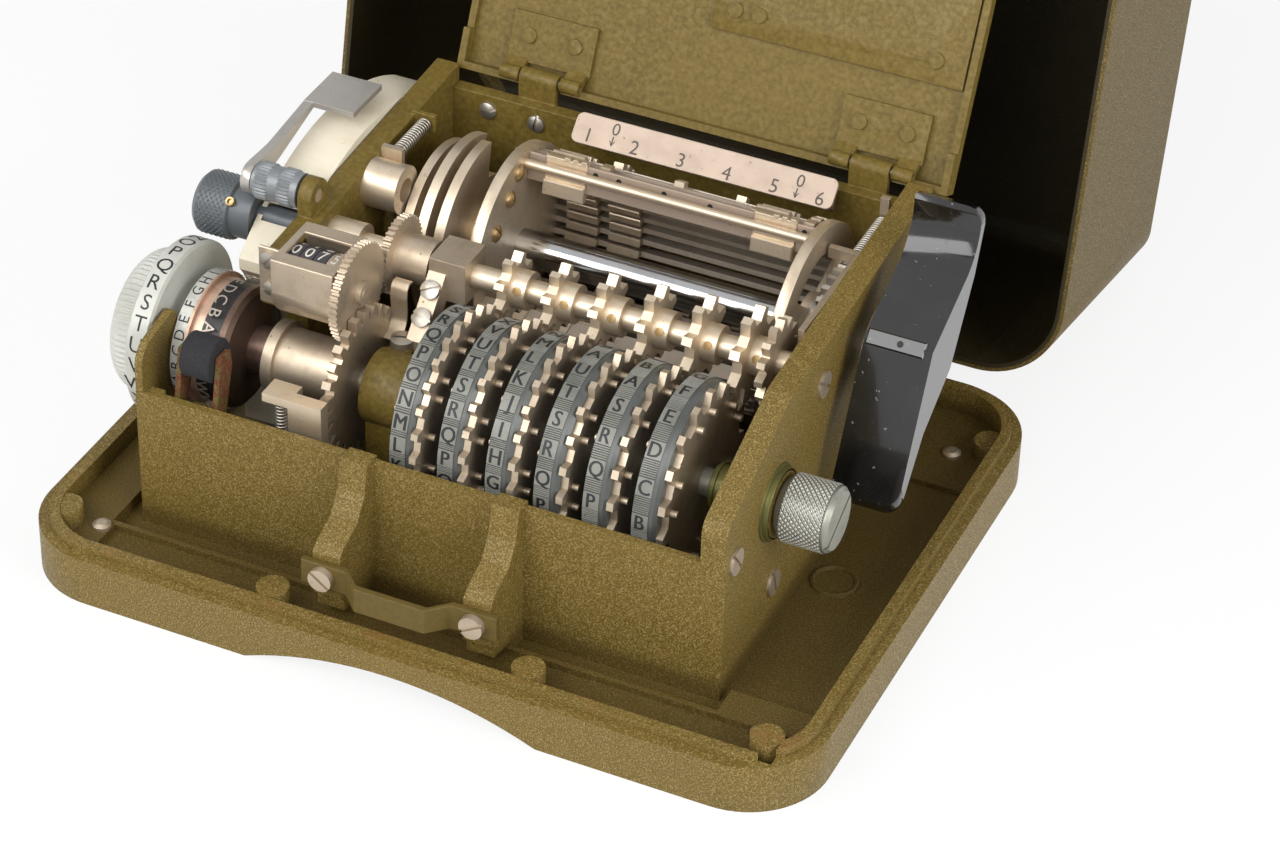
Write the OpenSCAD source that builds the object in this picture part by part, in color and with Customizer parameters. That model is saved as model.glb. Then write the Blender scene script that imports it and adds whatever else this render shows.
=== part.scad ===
// Pinwheel cipher machine: tray, frame, six pin wheels, lug drum, type wheel, tape feed and covers.
// Millimetres. X to the right, Y to the back, Z up, origin at the centre of the tray's underside.

/* [Case] */
// Width of the tray and the cover
case_w = 178; // [178:1:200]
// Depth of the tray and the cover
case_d = 140; // [140:1:160]
// Height of the closed case
case_h = 83; // [83:0.5:95]
// Radius of the case's upright corners
corner_r = 18; // [14:1:24]
// Height of the rim that the cover sits on
rim_z = 11.4; // [10.4:0.2:13]
// Height of the lip above the rim
lip_h = 2; // [1:0.2:3]
// Thickness of the lip
lip_t = 2.2; // [1.6:0.1:2.6]
// Play between the lip and the cover
lip_gap = 0.6; // [0.4:0.1:1]
// Wall thickness of the cover
cover_wall = 1.8; // [1.2:0.1:2]
// Radius of the cover's top edges
cover_edge_r = 8; // [4:0.5:9]
// Angle at which the cover stands open
cover_open = 101.5; // [95:0.5:101.5]
// Height of the tray's floor along the rim
high_floor_z = 8.5; // [8:0.1:8.6]
// Height of the sunk floor under the frame
low_floor_z = 5.5; // [5:0.1:6]
// Thickness of the sunk floor
floor_t = 2.5; // [1.5:0.1:3.5]
// Thickness of the tray's skirt below the floor
skirt_t = 3; // [2:0.2:4]
// Width of the rib under the tray
foot_rib_w = 7; // [4:0.5:12]
// Width of the finger scallop under the front rim
scallop_w = 66; // [50:1:80]
// Height of the finger scallop
scallop_h = 6.6; // [5:0.2:7]
// Radius of the hinge knuckles of the cover
knuckle_r = 2.2; // [2:0.1:2.6]
// Radius of the hinge pin of the cover
hinge_pin_r = 1; // [0.8:0.1:1.3]
// Length of one hinge knuckle of the cover
knuckle_l = 9; // [6:0.5:12]
// Distance of each cover hinge from the middle
hinge_x = 46; // [35:1:60]

/* [Frame] */
// Left end of the front wall
frame_left = -70.5; // [-72:0.5:-70]
// Outer face of the right side plate
frame_right = 62.5; // [62.5:0.1:63]
// Front face of the front wall
frame_front = -46; // [-47:0.2:-46]
// Rear face of the frame
frame_rear = 60; // [60:0.2:61]
// Thickness of the front and rear walls
wall_t = 3.2; // [2.6:0.1:3.2]
// Thickness of the side plates
side_t = 5.5; // [4:0.1:5.5]
// Outer face of the left side plate
left_plate_x = -54.5; // [-54.8:0.1:-54.3]
// Height of the front wall's top edge
front_top_z = 39; // [34:0.5:40]
// Height of the side plates at the back
side_top_z = 66.3; // [64:0.1:66.4]
// Height of the side plates at the front bend
side_bend_z = 61; // [58:0.5:62]
// Height of the left front post
post_z = 51.5; // [44:0.5:54]
// Thickness of the left front post
post_t = 1.8; // [1.2:0.1:2.2]
// Width of the two ribs on the front wall
rib_w = 6.2; // [5:0.2:8]
// Distance between the two ribs
rib_gap = 34; // [28:0.5:40]
// Middle between the two ribs
rib_mid_x = -1.6; // [-6:0.2:4]
// Height of the carrying strap above the underside
strap_z = 20; // [17:0.5:23]
// Height of the strap's band
strap_h = 6; // [4:0.5:7]
// Thickness of the strap's band
strap_t = 1.6; // [1:0.1:2]
// How far the strap stands out in front of the ribs
strap_out = 4; // [2:0.2:5]

/* [Axes] */
// Depth position of the wheel axle
wheel_y = -21.5; // [-21.8:0.1:-21.2]
// Height of the wheel axle
wheel_z = 39; // [38.8:0.1:39.2]
// Depth position of the feed shaft
feed_y = 0.8; // [0.5:0.1:1]
// Height of the feed shaft
feed_z = 56.2; // [56:0.1:56.4]
// Depth position of the drum shaft
drum_y = 32; // [31.8:0.1:32.4]
// Height of the drum shaft
drum_z = 43.5; // [43.2:0.1:43.8]
// Depth position of the counter's spindle
counter_y = -18.2; // [-18.4:0.1:-18]
// Height of the counter's spindle
counter_z = 58.4; // [58.2:0.1:58.6]
// Play around each running shaft
run_gap = 0.05; // [0.02:0.01:0.1]

/* [Key wheels] */
// Left face of the first wheel
wheel_x = -13.7; // [-14.2:0.1:-13.4]
// Distance from one wheel to the next
wheel_pitch = 10.76; // [10.6:0.02:10.8]
// Radius of a wheel's letter ring
wheel_r = 20.7; // [19.5:0.1:20.8]
// Width of a wheel's letter ring
ring_w = 5.4; // [4.6:0.1:5.4]
// Thickness of a wheel's toothed plate
tooth_plate_t = 1.5; // [1:0.1:1.6]
// Radius of the circle of pins
pin_circle_r = 16.5; // [14:0.1:16.6]
// Radius of a pin
pin_r = 0.75; // [0.5:0.05:0.8]
// How far a set pin stands out
pin_out = 1.4; // [0.8:0.1:1.6]
// Radius of the wheel axle
axle_r = 3; // [2.4:0.1:3.4]
// Radius of the axle's knob
axle_knob_r = 7; // [6:0.1:8]
// Length of the axle's knob
axle_knob_l = 12; // [10:0.5:18]

/* [Feed] */
// Number of lobes on each feed star
star_teeth = 8; // [8:1:8]
// Radius of the feed shaft
feed_r = 2.6; // [2:0.1:3]
// Radius of the collars on the feed shaft
collar_r = 4.2; // [3.4:0.1:4.6]
// Thickness of a feed star
star_t = 2.2; // [1.4:0.1:2.4]
// Teeth of the gear on the feed shaft
feed_gear_teeth = 40; // [40:1:40]
// Teeth of the counter's gear
counter_gear_teeth = 50; // [50:1:50]
// Thickness of the fine gears
fine_gear_t = 1.8; // [1.2:0.1:1.8]

/* [Drum] */
// Radius of the drum's end discs
drum_r = 23; // [20:0.1:23]
// Right face of the left end disc
drum_left_x = -20.1; // [-20.6:0.1:-19.6]
// Left face of the right end ring
drum_right_x = 46; // [45.6:0.1:46.4]
// Thickness of the end disc and ring
disc_t = 2.5; // [1.6:0.1:2.6]
// Radius of the drum shaft
drum_shaft_r = 4; // [3:0.1:4.4]
// Number of slide bars
bar_count = 27; // [20:1:27]
// Angle of the open sector without bars
bar_gap_angle = 115; // [100:1:120]
// Thickness of a slide bar
bar_t = 1.2; // [0.8:0.1:1.4]
// Height of a slide bar
bar_h = 4; // [3:0.1:5]
// Travel of the slide bars
bar_travel = 2.8; // [2:0.1:3.2]
// Play around a slide bar in its slot
bar_play = 0.15; // [0.1:0.05:0.25]
// Size of a lug along the bar
lug_w = 2.2; // [1.6:0.1:2.6]
// Height of a lug above its bar
lug_h = 1.3; // [0.8:0.1:1.4]
// Radius of the drum's drive gear
drum_gear_r = 15.2; // [12:0.1:15.4]

/* [Power handle] */
// Gap between the side plate and the handle's grip
handle_gap = 4; // [3.6:0.1:4.4]
// Width of the grip
handle_w = 14.8; // [12:0.1:15]
// Reach of the grip's ends from the drum shaft
handle_reach = 36.2; // [30:0.1:36.2]
// Distance of the grip's front ridge from the drum shaft
handle_front = 24.4; // [22:0.1:25]
// Thickness of the grip at its ridge
handle_t = 16.4; // [14:0.1:17]
// Thickness of the grip at its ends
handle_tip = 2.6; // [2:0.1:3.4]
// Lean of the grip
handle_lean = 46.3; // [30:0.5:60]
// Radius of the handle's hub
handle_hub_r = 9; // [8.2:0.1:10]

/* [Type wheel] */
// Left end of the setting knob
knob_x = -84; // [-84.3:0.1:-83.4]
// Radius of the setting knob
knob_r = 15.5; // [12:0.5:16]
// Radius of the letter disc
letter_disc_r = 19.3; // [17:0.1:20]
// Radius of the inner letter ring
inner_ring_r = 14.3; // [13.4:0.1:14.6]
// Radius of the type wheel
type_r = 13.2; // [11:0.1:13.4]
// Radius of the sleeve
sleeve_r = 6.8; // [5.5:0.1:7]
// Outer radius of the detent wheel
detent_r = 16.3; // [14:0.1:16.4]
// Teeth of the detent wheel
detent_teeth = 26; // [20:1:30]
// Radius of the ink roller
ink_r = 5; // [4:0.1:5.2]

/* [Tape] */
// Width of the tape housing
tape_w = 11; // [10:0.1:11.2]
// Wall of the tape housing
tape_wall = 1.2; // [0.8:0.1:1.4]
// Radius of the paper roll
roll_r = 21; // [12:0.5:22]
// Radius of the tape feed knob
feed_knob_r = 6.8; // [5:0.1:7]
// Radius of the press roller
press_r = 3.8; // [3:0.1:4]

/* [Lid] */
// Gap between the closed lid's front edge and the front of the case
lid_front_gap = 49.5; // [47.5:0.5:70]
// Height of the closed lid's top
lid_top_z = 72; // [71.5:0.1:74]
// Thickness of the lid's sheet
lid_t = 1.6; // [1:0.1:1.6]
// Angle at which the lid stands open
lid_open = 115; // [95:1:115]
// Distance of the left lid hinge from the middle
lid_hinge_left = 30; // [24:0.5:36]
// Distance of the right lid hinge from the middle
lid_hinge_right = 48; // [40:0.5:48]

/* [Springs] */
// Wire thickness of the springs
wire_d = 0.6; // [0.5:0.05:0.7]
// Mean coil radius of the springs
coil_r = 1.3; // [1.1:0.05:1.4]
// Rise of the springs in one turn
coil_rise = 1.1; // [1.05:0.05:1.3]

/* [Hidden] */
$fn = 64;
WHEELS = [0, 1, 2, 3, 4, 5];

OLIVE = "#6b5a28";
NICKEL = "#b5ada0";
STEEL = "#8d8a85";
CHROME = "#c9ccd0";
GREY_PAINT = "#7d868c";
IVORY = "#c9c7bb";
CREAM = "#efe9d2";
BLACK = "#15151a";
RUST = "#6b3b22";
PAPER = "#f4f1e6";

// Places that follow from the sizes above
WHEEL_AXIS = [wheel_y, wheel_z];
FEED_AXIS = [feed_y, feed_z];
DRUM_AXIS = [drum_y, drum_z];
COUNTER_AXIS = [counter_y, counter_z];
left_inner_x = left_plate_x + side_t;
right_inner_x = frame_right - side_t;
front_inner_y = frame_front + wall_t;
rear_inner_y = frame_rear - wall_t;
lip_inset = cover_wall + lip_gap;
inner_inset = lip_inset + lip_t;
HINGE = [case_d / 2 + knuckle_r + 0.3, rim_z];
touch = 0.02;
rib_front_y = frame_front - 14.5;
RIB_X = [rib_mid_x - rib_gap / 2, rib_mid_x + rib_gap / 2];

// Tooth counts of the six wheels, one tooth for each letter
WHEEL_TEETH = [26, 25, 23, 21, 19, 17];
star_distance = norm(FEED_AXIS - WHEEL_AXIS);
counter_distance = norm(FEED_AXIS - COUNTER_AXIS);
fine_module = 2 * counter_distance / (feed_gear_teeth + counter_gear_teeth);
function star_module(k) = 2 * star_distance / (WHEEL_TEETH[k] + star_teeth);
function wheel_left(k) = wheel_x + k * wheel_pitch;
function gear_plate_left(k) = wheel_left(k) + ring_w;

// Shapes used by several pieces
module rounded_rect(w, d, r) {
    square([w - 2 * r, d], center = true);
    square([w, d - 2 * r], center = true);
    for (x = [-1, 1], y = [-1, 1]) translate([x * (w / 2 - r), y * (d / 2 - r)]) circle(r);
}

// Extrudes an outline drawn in Y and Z along X, from x over the length t
module along_x(x, t) {
    translate([x, 0, 0]) rotate([90, 0, 90]) linear_extrude(t) children();
}

// Round bar along X around an axis given as its Y and Z
module rod_x(axis, x0, x1, r) {
    translate([x0, axis[0], axis[1]]) rotate([0, 90, 0]) cylinder(h = x1 - x0, r = r);
}

module ring_x(axis, x0, x1, r, bore) {
    difference() {
        rod_x(axis, x0, x1, r);
        rod_x(axis, x0 - 1, x1 + 1, bore);
    }
}

// Turned piece around an axis along X, from an outline of radius against X
module turned_x(axis) {
    translate([0, axis[0], axis[1]]) rotate([0, 90, 0]) rotate_extrude() children();
}

module box(low, high) {
    translate(low) cube(high - low);
}

function polar(r, a) = [r * cos(a), r * sin(a)];
function arc(middle, r, a0, a1) = [for (i = [0 : 8]) middle + polar(r, a0 + (a1 - a0) * i / 8)];

// Outline of a gear with straight flanks; shares are of one tooth pitch
module gear_outline(teeth, r_root, r_tip, root_share, tip_share, turn = 0) {
    step = 360 / teeth;
    corners = [[-root_share, r_root], [-tip_share, r_tip], [tip_share, r_tip], [root_share, r_root]];
    polygon([for (i = [0 : teeth - 1], p = corners) polar(p[1], turn + step * (i + p[0] / 2))]);
}

module gear_x(axis, x, t, teeth, r_root, r_tip, root_share, tip_share, bore, turn = 0) {
    along_x(x, t) translate(axis) difference() {
        gear_outline(teeth, r_root, r_tip, root_share, tip_share, turn);
        circle(bore);
    }
}

// Slotted screw whose head faces along -Y, or along X when turned
module slotted_head(r, h) {
    difference() {
        cylinder(h = h, r = r);
        translate([-r - 1, -0.35, h - 0.6]) cube([2 * r + 2, 0.7, 1]);
    }
}

// Swings what is drawn closed about a hinge line along X to its open angle
module opened(hinge, angle) {
    translate([0, hinge[0], hinge[1]]) rotate([-angle, 0, 0]) translate([0, -hinge[0], -hinge[1]]) children();
}

// Tray with a stepped rim, a sunk floor for the frame and the handle, and ribs to stand on
bay_right = case_w / 2 - inner_inset - 0.6;
sunk_front = frame_front - 6;
sunk_left = frame_left - 3.5;
sunk_rear = frame_rear + 2.2;
bay_front = frame_front + 1;
bay_rear = drum_y + 6.6;
shelf_z = low_floor_z + 1.4;
stub_r = 3.5;
stub_x = case_w / 2 - inner_inset - 2;
stub_y = case_d / 2 - inner_inset - stub_r - 0.4;
front_stub_z = rim_z + lip_h - 0.3;
STUB_PLACES = [[-stub_x, 5 - stub_y, front_stub_z], [RIB_X[0] - 12, -stub_y, front_stub_z],
    [RIB_X[1] + 12, -stub_y, front_stub_z], [stub_x - 4, 2 - stub_y, front_stub_z],
    [stub_x, stub_y - 8, rim_z - 0.4]];
front_floor_z = low_floor_z + 1.4;
bead_t = 1.2;
rivet_x = case_w / 2 - 14;
rivet_y = case_d / 2 - 15;
rear_rivet_y = case_d / 2 - 19.8;
RIVET_PLACES = [[-rivet_x, -rivet_y, high_floor_z], [rivet_x, -rivet_y, high_floor_z],
    [rivet_x, rear_rivet_y, shelf_z], [-rivet_x, rear_rivet_y, high_floor_z]];

module tray() {
    color(OLIVE) difference() {
        union() {
            difference() {
                union() {
                    linear_extrude(rim_z) rounded_rect(case_w, case_d, corner_r);
                    linear_extrude(rim_z + lip_h)
                        rounded_rect(case_w - 2 * lip_inset, case_d - 2 * lip_inset, corner_r - lip_inset);
                }
                translate([0, 0, high_floor_z]) linear_extrude(case_h)
                    rounded_rect(case_w - 2 * inner_inset, case_d - 2 * inner_inset, corner_r - inner_inset);
                box([sunk_left, sunk_front, low_floor_z], [frame_right + 2, sunk_rear, case_h]);
                box([frame_right, bay_front, low_floor_z], [bay_right, bay_rear, case_h]);
                translate([0, 0, shelf_z]) linear_extrude(case_h) intersection() {
                    rounded_rect(case_w - 2 * inner_inset, case_d - 2 * inner_inset, corner_r - inner_inset);
                    translate([frame_right + 2, bay_rear - 1]) square(case_d / 2);
                }
                box([sunk_left + 1, inner_inset - case_d / 2, front_floor_z],
                    [bay_right - 2, sunk_front - bead_t, case_h]);
                under_pockets();
            }
            for (p = STUB_PLACES)
                translate([p[0], p[1], low_floor_z]) cylinder(h = p[2] - low_floor_z, r = stub_r);
            for (x = [-hinge_x, hinge_x]) tray_knuckle(x);
        }
        scallop();
    }
}

module under_pockets() {
    pocket_w = case_w - 2 * skirt_t;
    pocket_d = case_d - 2 * skirt_t;
    translate([0, 0, -1]) linear_extrude(low_floor_z - floor_t + 1) difference() {
        rounded_rect(pocket_w, pocket_d, corner_r - skirt_t);
        square([case_w, foot_rib_w], center = true);
    }
}

module scallop() {
    arc_r = (scallop_w * scallop_w / 4 + scallop_h * scallop_h) / (2 * scallop_h);
    depth = frame_front + case_d / 2 - 12;
    translate([0, -case_d / 2 - 1, scallop_h - arc_r]) rotate([-90, 0, 0])
        cylinder(h = depth, r = arc_r, $fn = 128);
}

module tray_knuckle(x) {
    difference() {
        union() {
            rod_x(HINGE, x - knuckle_l / 2, x + knuckle_l / 2, knuckle_r);
            box([x - knuckle_l / 2, case_d / 2 - 1, rim_z - knuckle_r],
                [x + knuckle_l / 2, HINGE[0], rim_z - 0.4]);
        }
        rod_x(HINGE, x - knuckle_l, x + knuckle_l, hinge_pin_r + run_gap);
    }
}

module tray_rivet() {
    cylinder(h = 0.7, r = 2);
    translate([0, 0, 0.7]) cylinder(h = 0.5, r1 = 2, r2 = 1.1);
}

// Front wall with two ribs for the strap, the short left post and a seat for the pawl's spring

module front_wall() {
    color(OLIVE) union() {
        difference() {
            box([frame_left, frame_front, low_floor_z], [right_inner_x, front_inner_y, front_top_z]);
            box([frame_left + 3 * post_t, front_inner_y - 1.3, front_top_z - 1.2],
                [right_inner_x + 1, front_inner_y + 1, front_top_z + 1]);
            rod_x(WHEEL_AXIS, wheel_left(0) - 1, right_inner_x + 1, wheel_clear_r());
        }
        along_x(frame_left, post_t) post_outline();
        for (x = RIB_X) along_x(x - rib_w / 2, rib_w) rib_outline();
        box([spring_x - coil_r - 1, front_inner_y - 1, pawl_spring_z - 2],
            [spring_x + coil_r + 1, pawl_spring_y + coil_r + 1, pawl_spring_z]);
    }
}

module post_outline() {
    post_rear = wheel_y - 9.5;
    polygon(concat([[frame_front + 0.2, low_floor_z], [post_rear, low_floor_z]],
        arc([post_rear - 2, post_z - 2], 2, 0, 100), arc([frame_front + 5.2, post_z - 6.4], 5, 100, 180)));
}

module rib_outline() {
    polygon([[front_inner_y - 1, front_top_z + 0.6], [frame_front - 2, front_top_z + 0.6],
        [frame_front - 3.4, strap_z + 13], [frame_front - 6.5, strap_z + 8.5], [rib_front_y + 2, strap_z + 6],
        [rib_front_y, strap_z + 4.5], [rib_front_y, strap_z - 6], [rib_front_y + 1.6, strap_z - 7.2],
        [rib_front_y + 1.6, high_floor_z + 1.6], [sunk_front + 0.2, high_floor_z + 0.4],
        [sunk_front + 0.2, low_floor_z],
        [front_inner_y - 1, low_floor_z]]);
}

// Flat strap with offset ends, screwed to the ribs
module carry_strap() {
    tab = rib_w / 2 + 2;
    inner = [[RIB_X[0] - tab, 0], [RIB_X[0] + tab, 0], [RIB_X[0] + tab + 4, strap_out],
        [RIB_X[1] - tab - 4, strap_out], [RIB_X[1] - tab, 0], [RIB_X[1] + tab, 0]];
    outer = [for (i = [len(inner) - 1 : -1 : 0]) inner[i] + [0, strap_t]];
    color(OLIVE) translate([0, rib_front_y, strap_z - strap_h / 2]) mirror([0, 1, 0])
        linear_extrude(strap_h) polygon(concat(inner, outer));
}

// Rivets of the tray, screws of the strap and screws on the outer face of the right side plate
module fasteners() {
    plate_places = [[frame_front + 4.6, front_top_z - 1], [wheel_y + 0.8, low_floor_z + 12.5],
        [feed_y + 0.8, feed_z - 3.1]];
    color(STEEL) {
        for (p = RIVET_PLACES) translate(p) tray_rivet();
        for (x = RIB_X) translate([x, rib_front_y - strap_t, strap_z])
            rotate([90, 0, 0]) rotate(2 * x) slotted_head(2.6, 1.6);
        for (p = plate_places) translate([frame_right, p[0], p[1]])
            rotate([0, 90, 0]) rotate(p[1]) slotted_head(2.9, 0.7);
    }
}

// Side plates with bearings for the shafts
bend_rear_y = frame_front + 31;
plate_corner_r = 4;
bend_drop = 11.4;
bend_slope = atan2(bend_drop, bend_rear_y - frame_front - plate_corner_r);

module right_plate() {
    color(OLIVE) difference() {
        union() {
            along_x(right_inner_x, side_t) polygon(concat([[frame_front, low_floor_z]],
                arc([frame_front + plate_corner_r, side_bend_z - bend_drop - plate_corner_r],
                    plate_corner_r, 180, 90 + bend_slope),
                [[bend_rear_y, side_bend_z], [frame_rear, side_top_z], [frame_rear, low_floor_z]]));
            rod_x(WHEEL_AXIS, right_inner_x - 2.5, frame_right + 1.6, axle_r + 4.5);
        }
        rod_x(WHEEL_AXIS, right_inner_x - 4, frame_right + 3, axle_r + run_gap);
        rod_x(FEED_AXIS, right_inner_x - 1, frame_right - 1.5, feed_r + run_gap);
        rod_x(DRUM_AXIS, right_inner_x - 1, frame_right + 1, drum_shaft_r + run_gap);
    }
}

PRESS_AXIS = [feed_y - 1.7, feed_z + 10.3];
press_pin_r = 1.5;
lug_t = 3.4;

module left_plate() {
    front = wheel_y + 1;
    low_front = wheel_y + 10.5;
    color(OLIVE) difference() {
        union() {
            along_x(left_plate_x, side_t) {
                polygon([[low_front, low_floor_z], [low_front, wheel_z + 8], [front, wheel_z + 11.5],
                    [front, side_bend_z + 1], [frame_rear, side_top_z], [frame_rear, low_floor_z]]);
            }
            along_x(left_plate_x, lug_t) {
                translate(PRESS_AXIS) circle(press_pin_r + 2.3);
                translate([PRESS_AXIS[0] - press_pin_r - 2.3, side_bend_z - 4])
                    square([2 * press_pin_r + 4.6, PRESS_AXIS[1] - side_bend_z + 4]);
            }
            rod_x(DRUM_AXIS, left_inner_x - 1, left_inner_x + 2, drum_shaft_r + 5);
            box([left_inner_x - 1, side_spring_rear, side_spring_z - 2.4],
                [side_spring_x + coil_r + 0.8, side_spring_rear + 1.4, side_spring_z + 2]);
        }
        rod_x(PRESS_AXIS, left_plate_x - 1, left_inner_x + 1, press_pin_r + touch);
        rod_x(FEED_AXIS, left_plate_x + 0.8, left_inner_x + 1, feed_r + run_gap);
        rod_x(DRUM_AXIS, left_plate_x + 0.8, left_inner_x + 3, drum_shaft_r + run_gap);
    }
}

// Rear wall with the fixed leaves of the lid's hinges
LID_HINGE = [frame_rear + 1.5, side_top_z + 0.2];
LID_HINGE_X = [-lid_hinge_left, lid_hinge_right];
lid_knuckle_r = 2;
lid_knuckle_l = 9;
lid_pin_r = 0.8;
rear_top_z = side_top_z - 4.3;

module rear_wall() {
    color(OLIVE) union() {
        box([left_inner_x, rear_inner_y, low_floor_z], [right_inner_x, frame_rear, rear_top_z]);
        for (x = LID_HINGE_X) difference() {
            union() {
                box([x - lid_knuckle_l / 2, frame_rear - 0.5, rear_top_z - 9],
                    [x + lid_knuckle_l / 2, frame_rear + 1.2, LID_HINGE[1]]);
                rod_x(LID_HINGE, x - lid_knuckle_l / 2, x + lid_knuckle_l / 2, lid_knuckle_r);
            }
            rod_x(LID_HINGE, x - lid_knuckle_l, x + lid_knuckle_l, lid_pin_r + run_gap);
        }
    }
}

// Pins of both hinges and the shaft of the guide arms
GUIDE_AXIS = [feed_y + 3.8, low_floor_z + 6.5];
guide_r = 1.8;

module fixed_pins() {
    color(STEEL) {
        rod_x(GUIDE_AXIS, left_inner_x, right_inner_x, guide_r);
        for (x = [-hinge_x, hinge_x]) rod_x(HINGE, x - 1.5 * knuckle_l, x + 1.5 * knuckle_l, hinge_pin_r);
        for (x = LID_HINGE_X) rod_x(LID_HINGE, x - lid_knuckle_l, x + lid_knuckle_l, lid_pin_r);
    }
}

// Number plate above the drum, leaning back, on two legs from the rear wall
index_left = drum_left_x + 3.1;
index_right = drum_right_x - 2;
index_lean = 45;
index_w = 6.9;
index_gap = 1.8;
index_corner_r = 1.6;
INDEX_FOOT = [drum_y, drum_z] + polar(drum_r + index_gap, index_lean);

module index_plate() {
    color(NICKEL) union() {
        translate([(index_left + index_right) / 2, INDEX_FOOT[0], INDEX_FOOT[1]]) rotate([index_lean, 0, 0])
            translate([0, index_w / 2, 0]) linear_extrude(1)
                rounded_rect(index_right - index_left, index_w, index_corner_r);
        for (x = [index_left + 2, index_right - 5]) along_x(x, 3) polygon([
            INDEX_FOOT + polar(1, index_lean) + polar(0.3, index_lean + 90),
            INDEX_FOOT + polar(index_w - 1.5, index_lean),
            [rear_inner_y, INDEX_FOOT[1] + 1.5], [rear_inner_y, INDEX_FOOT[1] - 5]]);
    }
}

// Stop lever along the right side plate, bent in beside the drum, and the lug that anchors its tension spring
stop_t = 1.4;
stop_x = right_inner_x - 2.2;
stop_left = drum_right_x + disc_t + 0.5;
stop_top_z = side_bend_z + 0.9;
stop_h = 4.6;
stop_low_z = stop_top_z - stop_h;
stop_front_y = feed_y + feed_r + 2;
stop_bend_y = drum_y + 5.2;
stop_lug_y = stop_bend_y + 15;

module drum_stop_bracket() {
    color(NICKEL) union() {
        box([right_inner_x - 2, stop_front_y, stop_low_z],
            [right_inner_x - 2 + stop_t, stop_bend_y, stop_top_z]);
        box([stop_left, stop_bend_y - stop_t, stop_low_z + 2],
            [right_inner_x - 2 + stop_t, stop_bend_y, stop_top_z]);
        for (y = [stop_front_y + 4, stop_bend_y - 8])
            rod_x([y, stop_top_z - stop_h / 2], right_inner_x - 1, right_inner_x, 1.8);
        box([stop_x - 1, stop_lug_y, stop_low_z], [stop_x + 1, stop_lug_y + stop_t, stop_top_z + 4]);
        box([stop_x - 1, stop_lug_y, stop_low_z], [stop_x + 1, rear_inner_y, stop_low_z + 2]);
    }
}

// Cast bracket that holds the wheel axle and the type axle end to end
bracket_left = wheel_x - 13.8;
bracket_right = wheel_x - 1.9;
pillar_top_z = wheel_z + 5;

module axle_bracket() {
    color(OLIVE) difference() {
        union() {
            rod_x(WHEEL_AXIS, bracket_left, bracket_right, axle_r + 5);
            box([bracket_left, wheel_y - 5, low_floor_z], [bracket_right, wheel_y + 8, wheel_z]);
            box([bracket_left, wheel_y + 6.5, low_floor_z], [bracket_right, wheel_y + 12, pillar_top_z]);
        }
        rod_x(WHEEL_AXIS, bracket_left - 1, bracket_right + 1, axle_r + run_gap);
    }
}

module bearing_block() {
    half = feed_r + 2.2;
    arm_w = 4;
    left = bracket_left + 3.5;
    color(NICKEL) difference() {
        union() {
            box([left, feed_y - half, feed_z - half], [bracket_right, feed_y + half, feed_z + half]);
            along_x(left, arm_w) polygon([[feed_y - half + 1, feed_z + half - 2],
                [feed_y - half + 1, feed_z - half + 1], [wheel_y + 12, pillar_top_z],
                [wheel_y + 7, pillar_top_z], [wheel_y + 7, pillar_top_z + 3]]);
        }
        rod_x(FEED_AXIS, left - 1, bracket_right + 1, feed_r + run_gap);
    }
}

// Bushes and collars on the left plate and the pin of the press roller
COLLAR_AXIS = [drum_y - 13.5, drum_z + 16];
press_pin_left = left_plate_x - tape_w - 3.6;

bush_r = 5.4;

module bushes() {
    color(NICKEL) {
        difference() {
            union() {
                rod_x(COLLAR_AXIS, left_inner_x, left_inner_x + 8, bush_r);
                box([left_inner_x, side_spring_front - 1.4, COLLAR_AXIS[1]],
                    [side_spring_x + coil_r + 0.8, side_spring_front, side_spring_z + 2]);
            }
            rod_x(COLLAR_AXIS, left_inner_x + 4, left_inner_x + 9, bush_r / 2);
        }
        ring_x(FEED_AXIS, left_inner_x, left_inner_x + 7.5, feed_r + 1.8, feed_r + run_gap);
        rod_x(PRESS_AXIS, press_pin_left, left_plate_x + lug_t - 0.2, press_pin_r);
    }
}

// Six arms between the wheels and the drum, rocking on one shaft
guide_top_z = feed_z - 12.9;

module guide_arms() {
    arm_t = 1.8;
    arm_x = ring_w + tooth_plate_t + 0.3;
    color(STEEL) for (k = WHEELS) along_x(wheel_left(k) + arm_x, arm_t) difference() {
        union() {
            translate(GUIDE_AXIS) circle(guide_r + 1.8);
            translate([GUIDE_AXIS[0] - 1.7, GUIDE_AXIS[1]]) square([3.4, guide_top_z - GUIDE_AXIS[1]]);
        }
        translate(GUIDE_AXIS) circle(guide_r + run_gap);
    }
}

// Letter counter: case with a window, fine gear on its spindle and four number wheels
digit_r = 6.6;
case_wall = 0.9;
counter_w = 14.4;
counter_right = left_inner_x + counter_w;
spindle_r = 1.5;
fine_gear_x = counter_right + 0.4;

module counter_outline(r) {
    translate(COUNTER_AXIS) circle(r);
    translate(COUNTER_AXIS - [r, 0]) square([2 * r, r]);
}

module counter_case() {
    outer_r = digit_r + 0.5 + case_wall;
    color(NICKEL) difference() {
        along_x(left_inner_x, counter_w) counter_outline(outer_r);
        along_x(left_inner_x - 1, counter_w + 1 - case_wall) counter_outline(digit_r + 0.5);
        rod_x(COUNTER_AXIS, left_inner_x, counter_right + 1, spindle_r + run_gap);
        box([left_inner_x + 1.6, counter_y - 4.2, counter_z + digit_r],
            [counter_right - 1.8, counter_y + 4.2, case_h]);
    }
}

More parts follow.
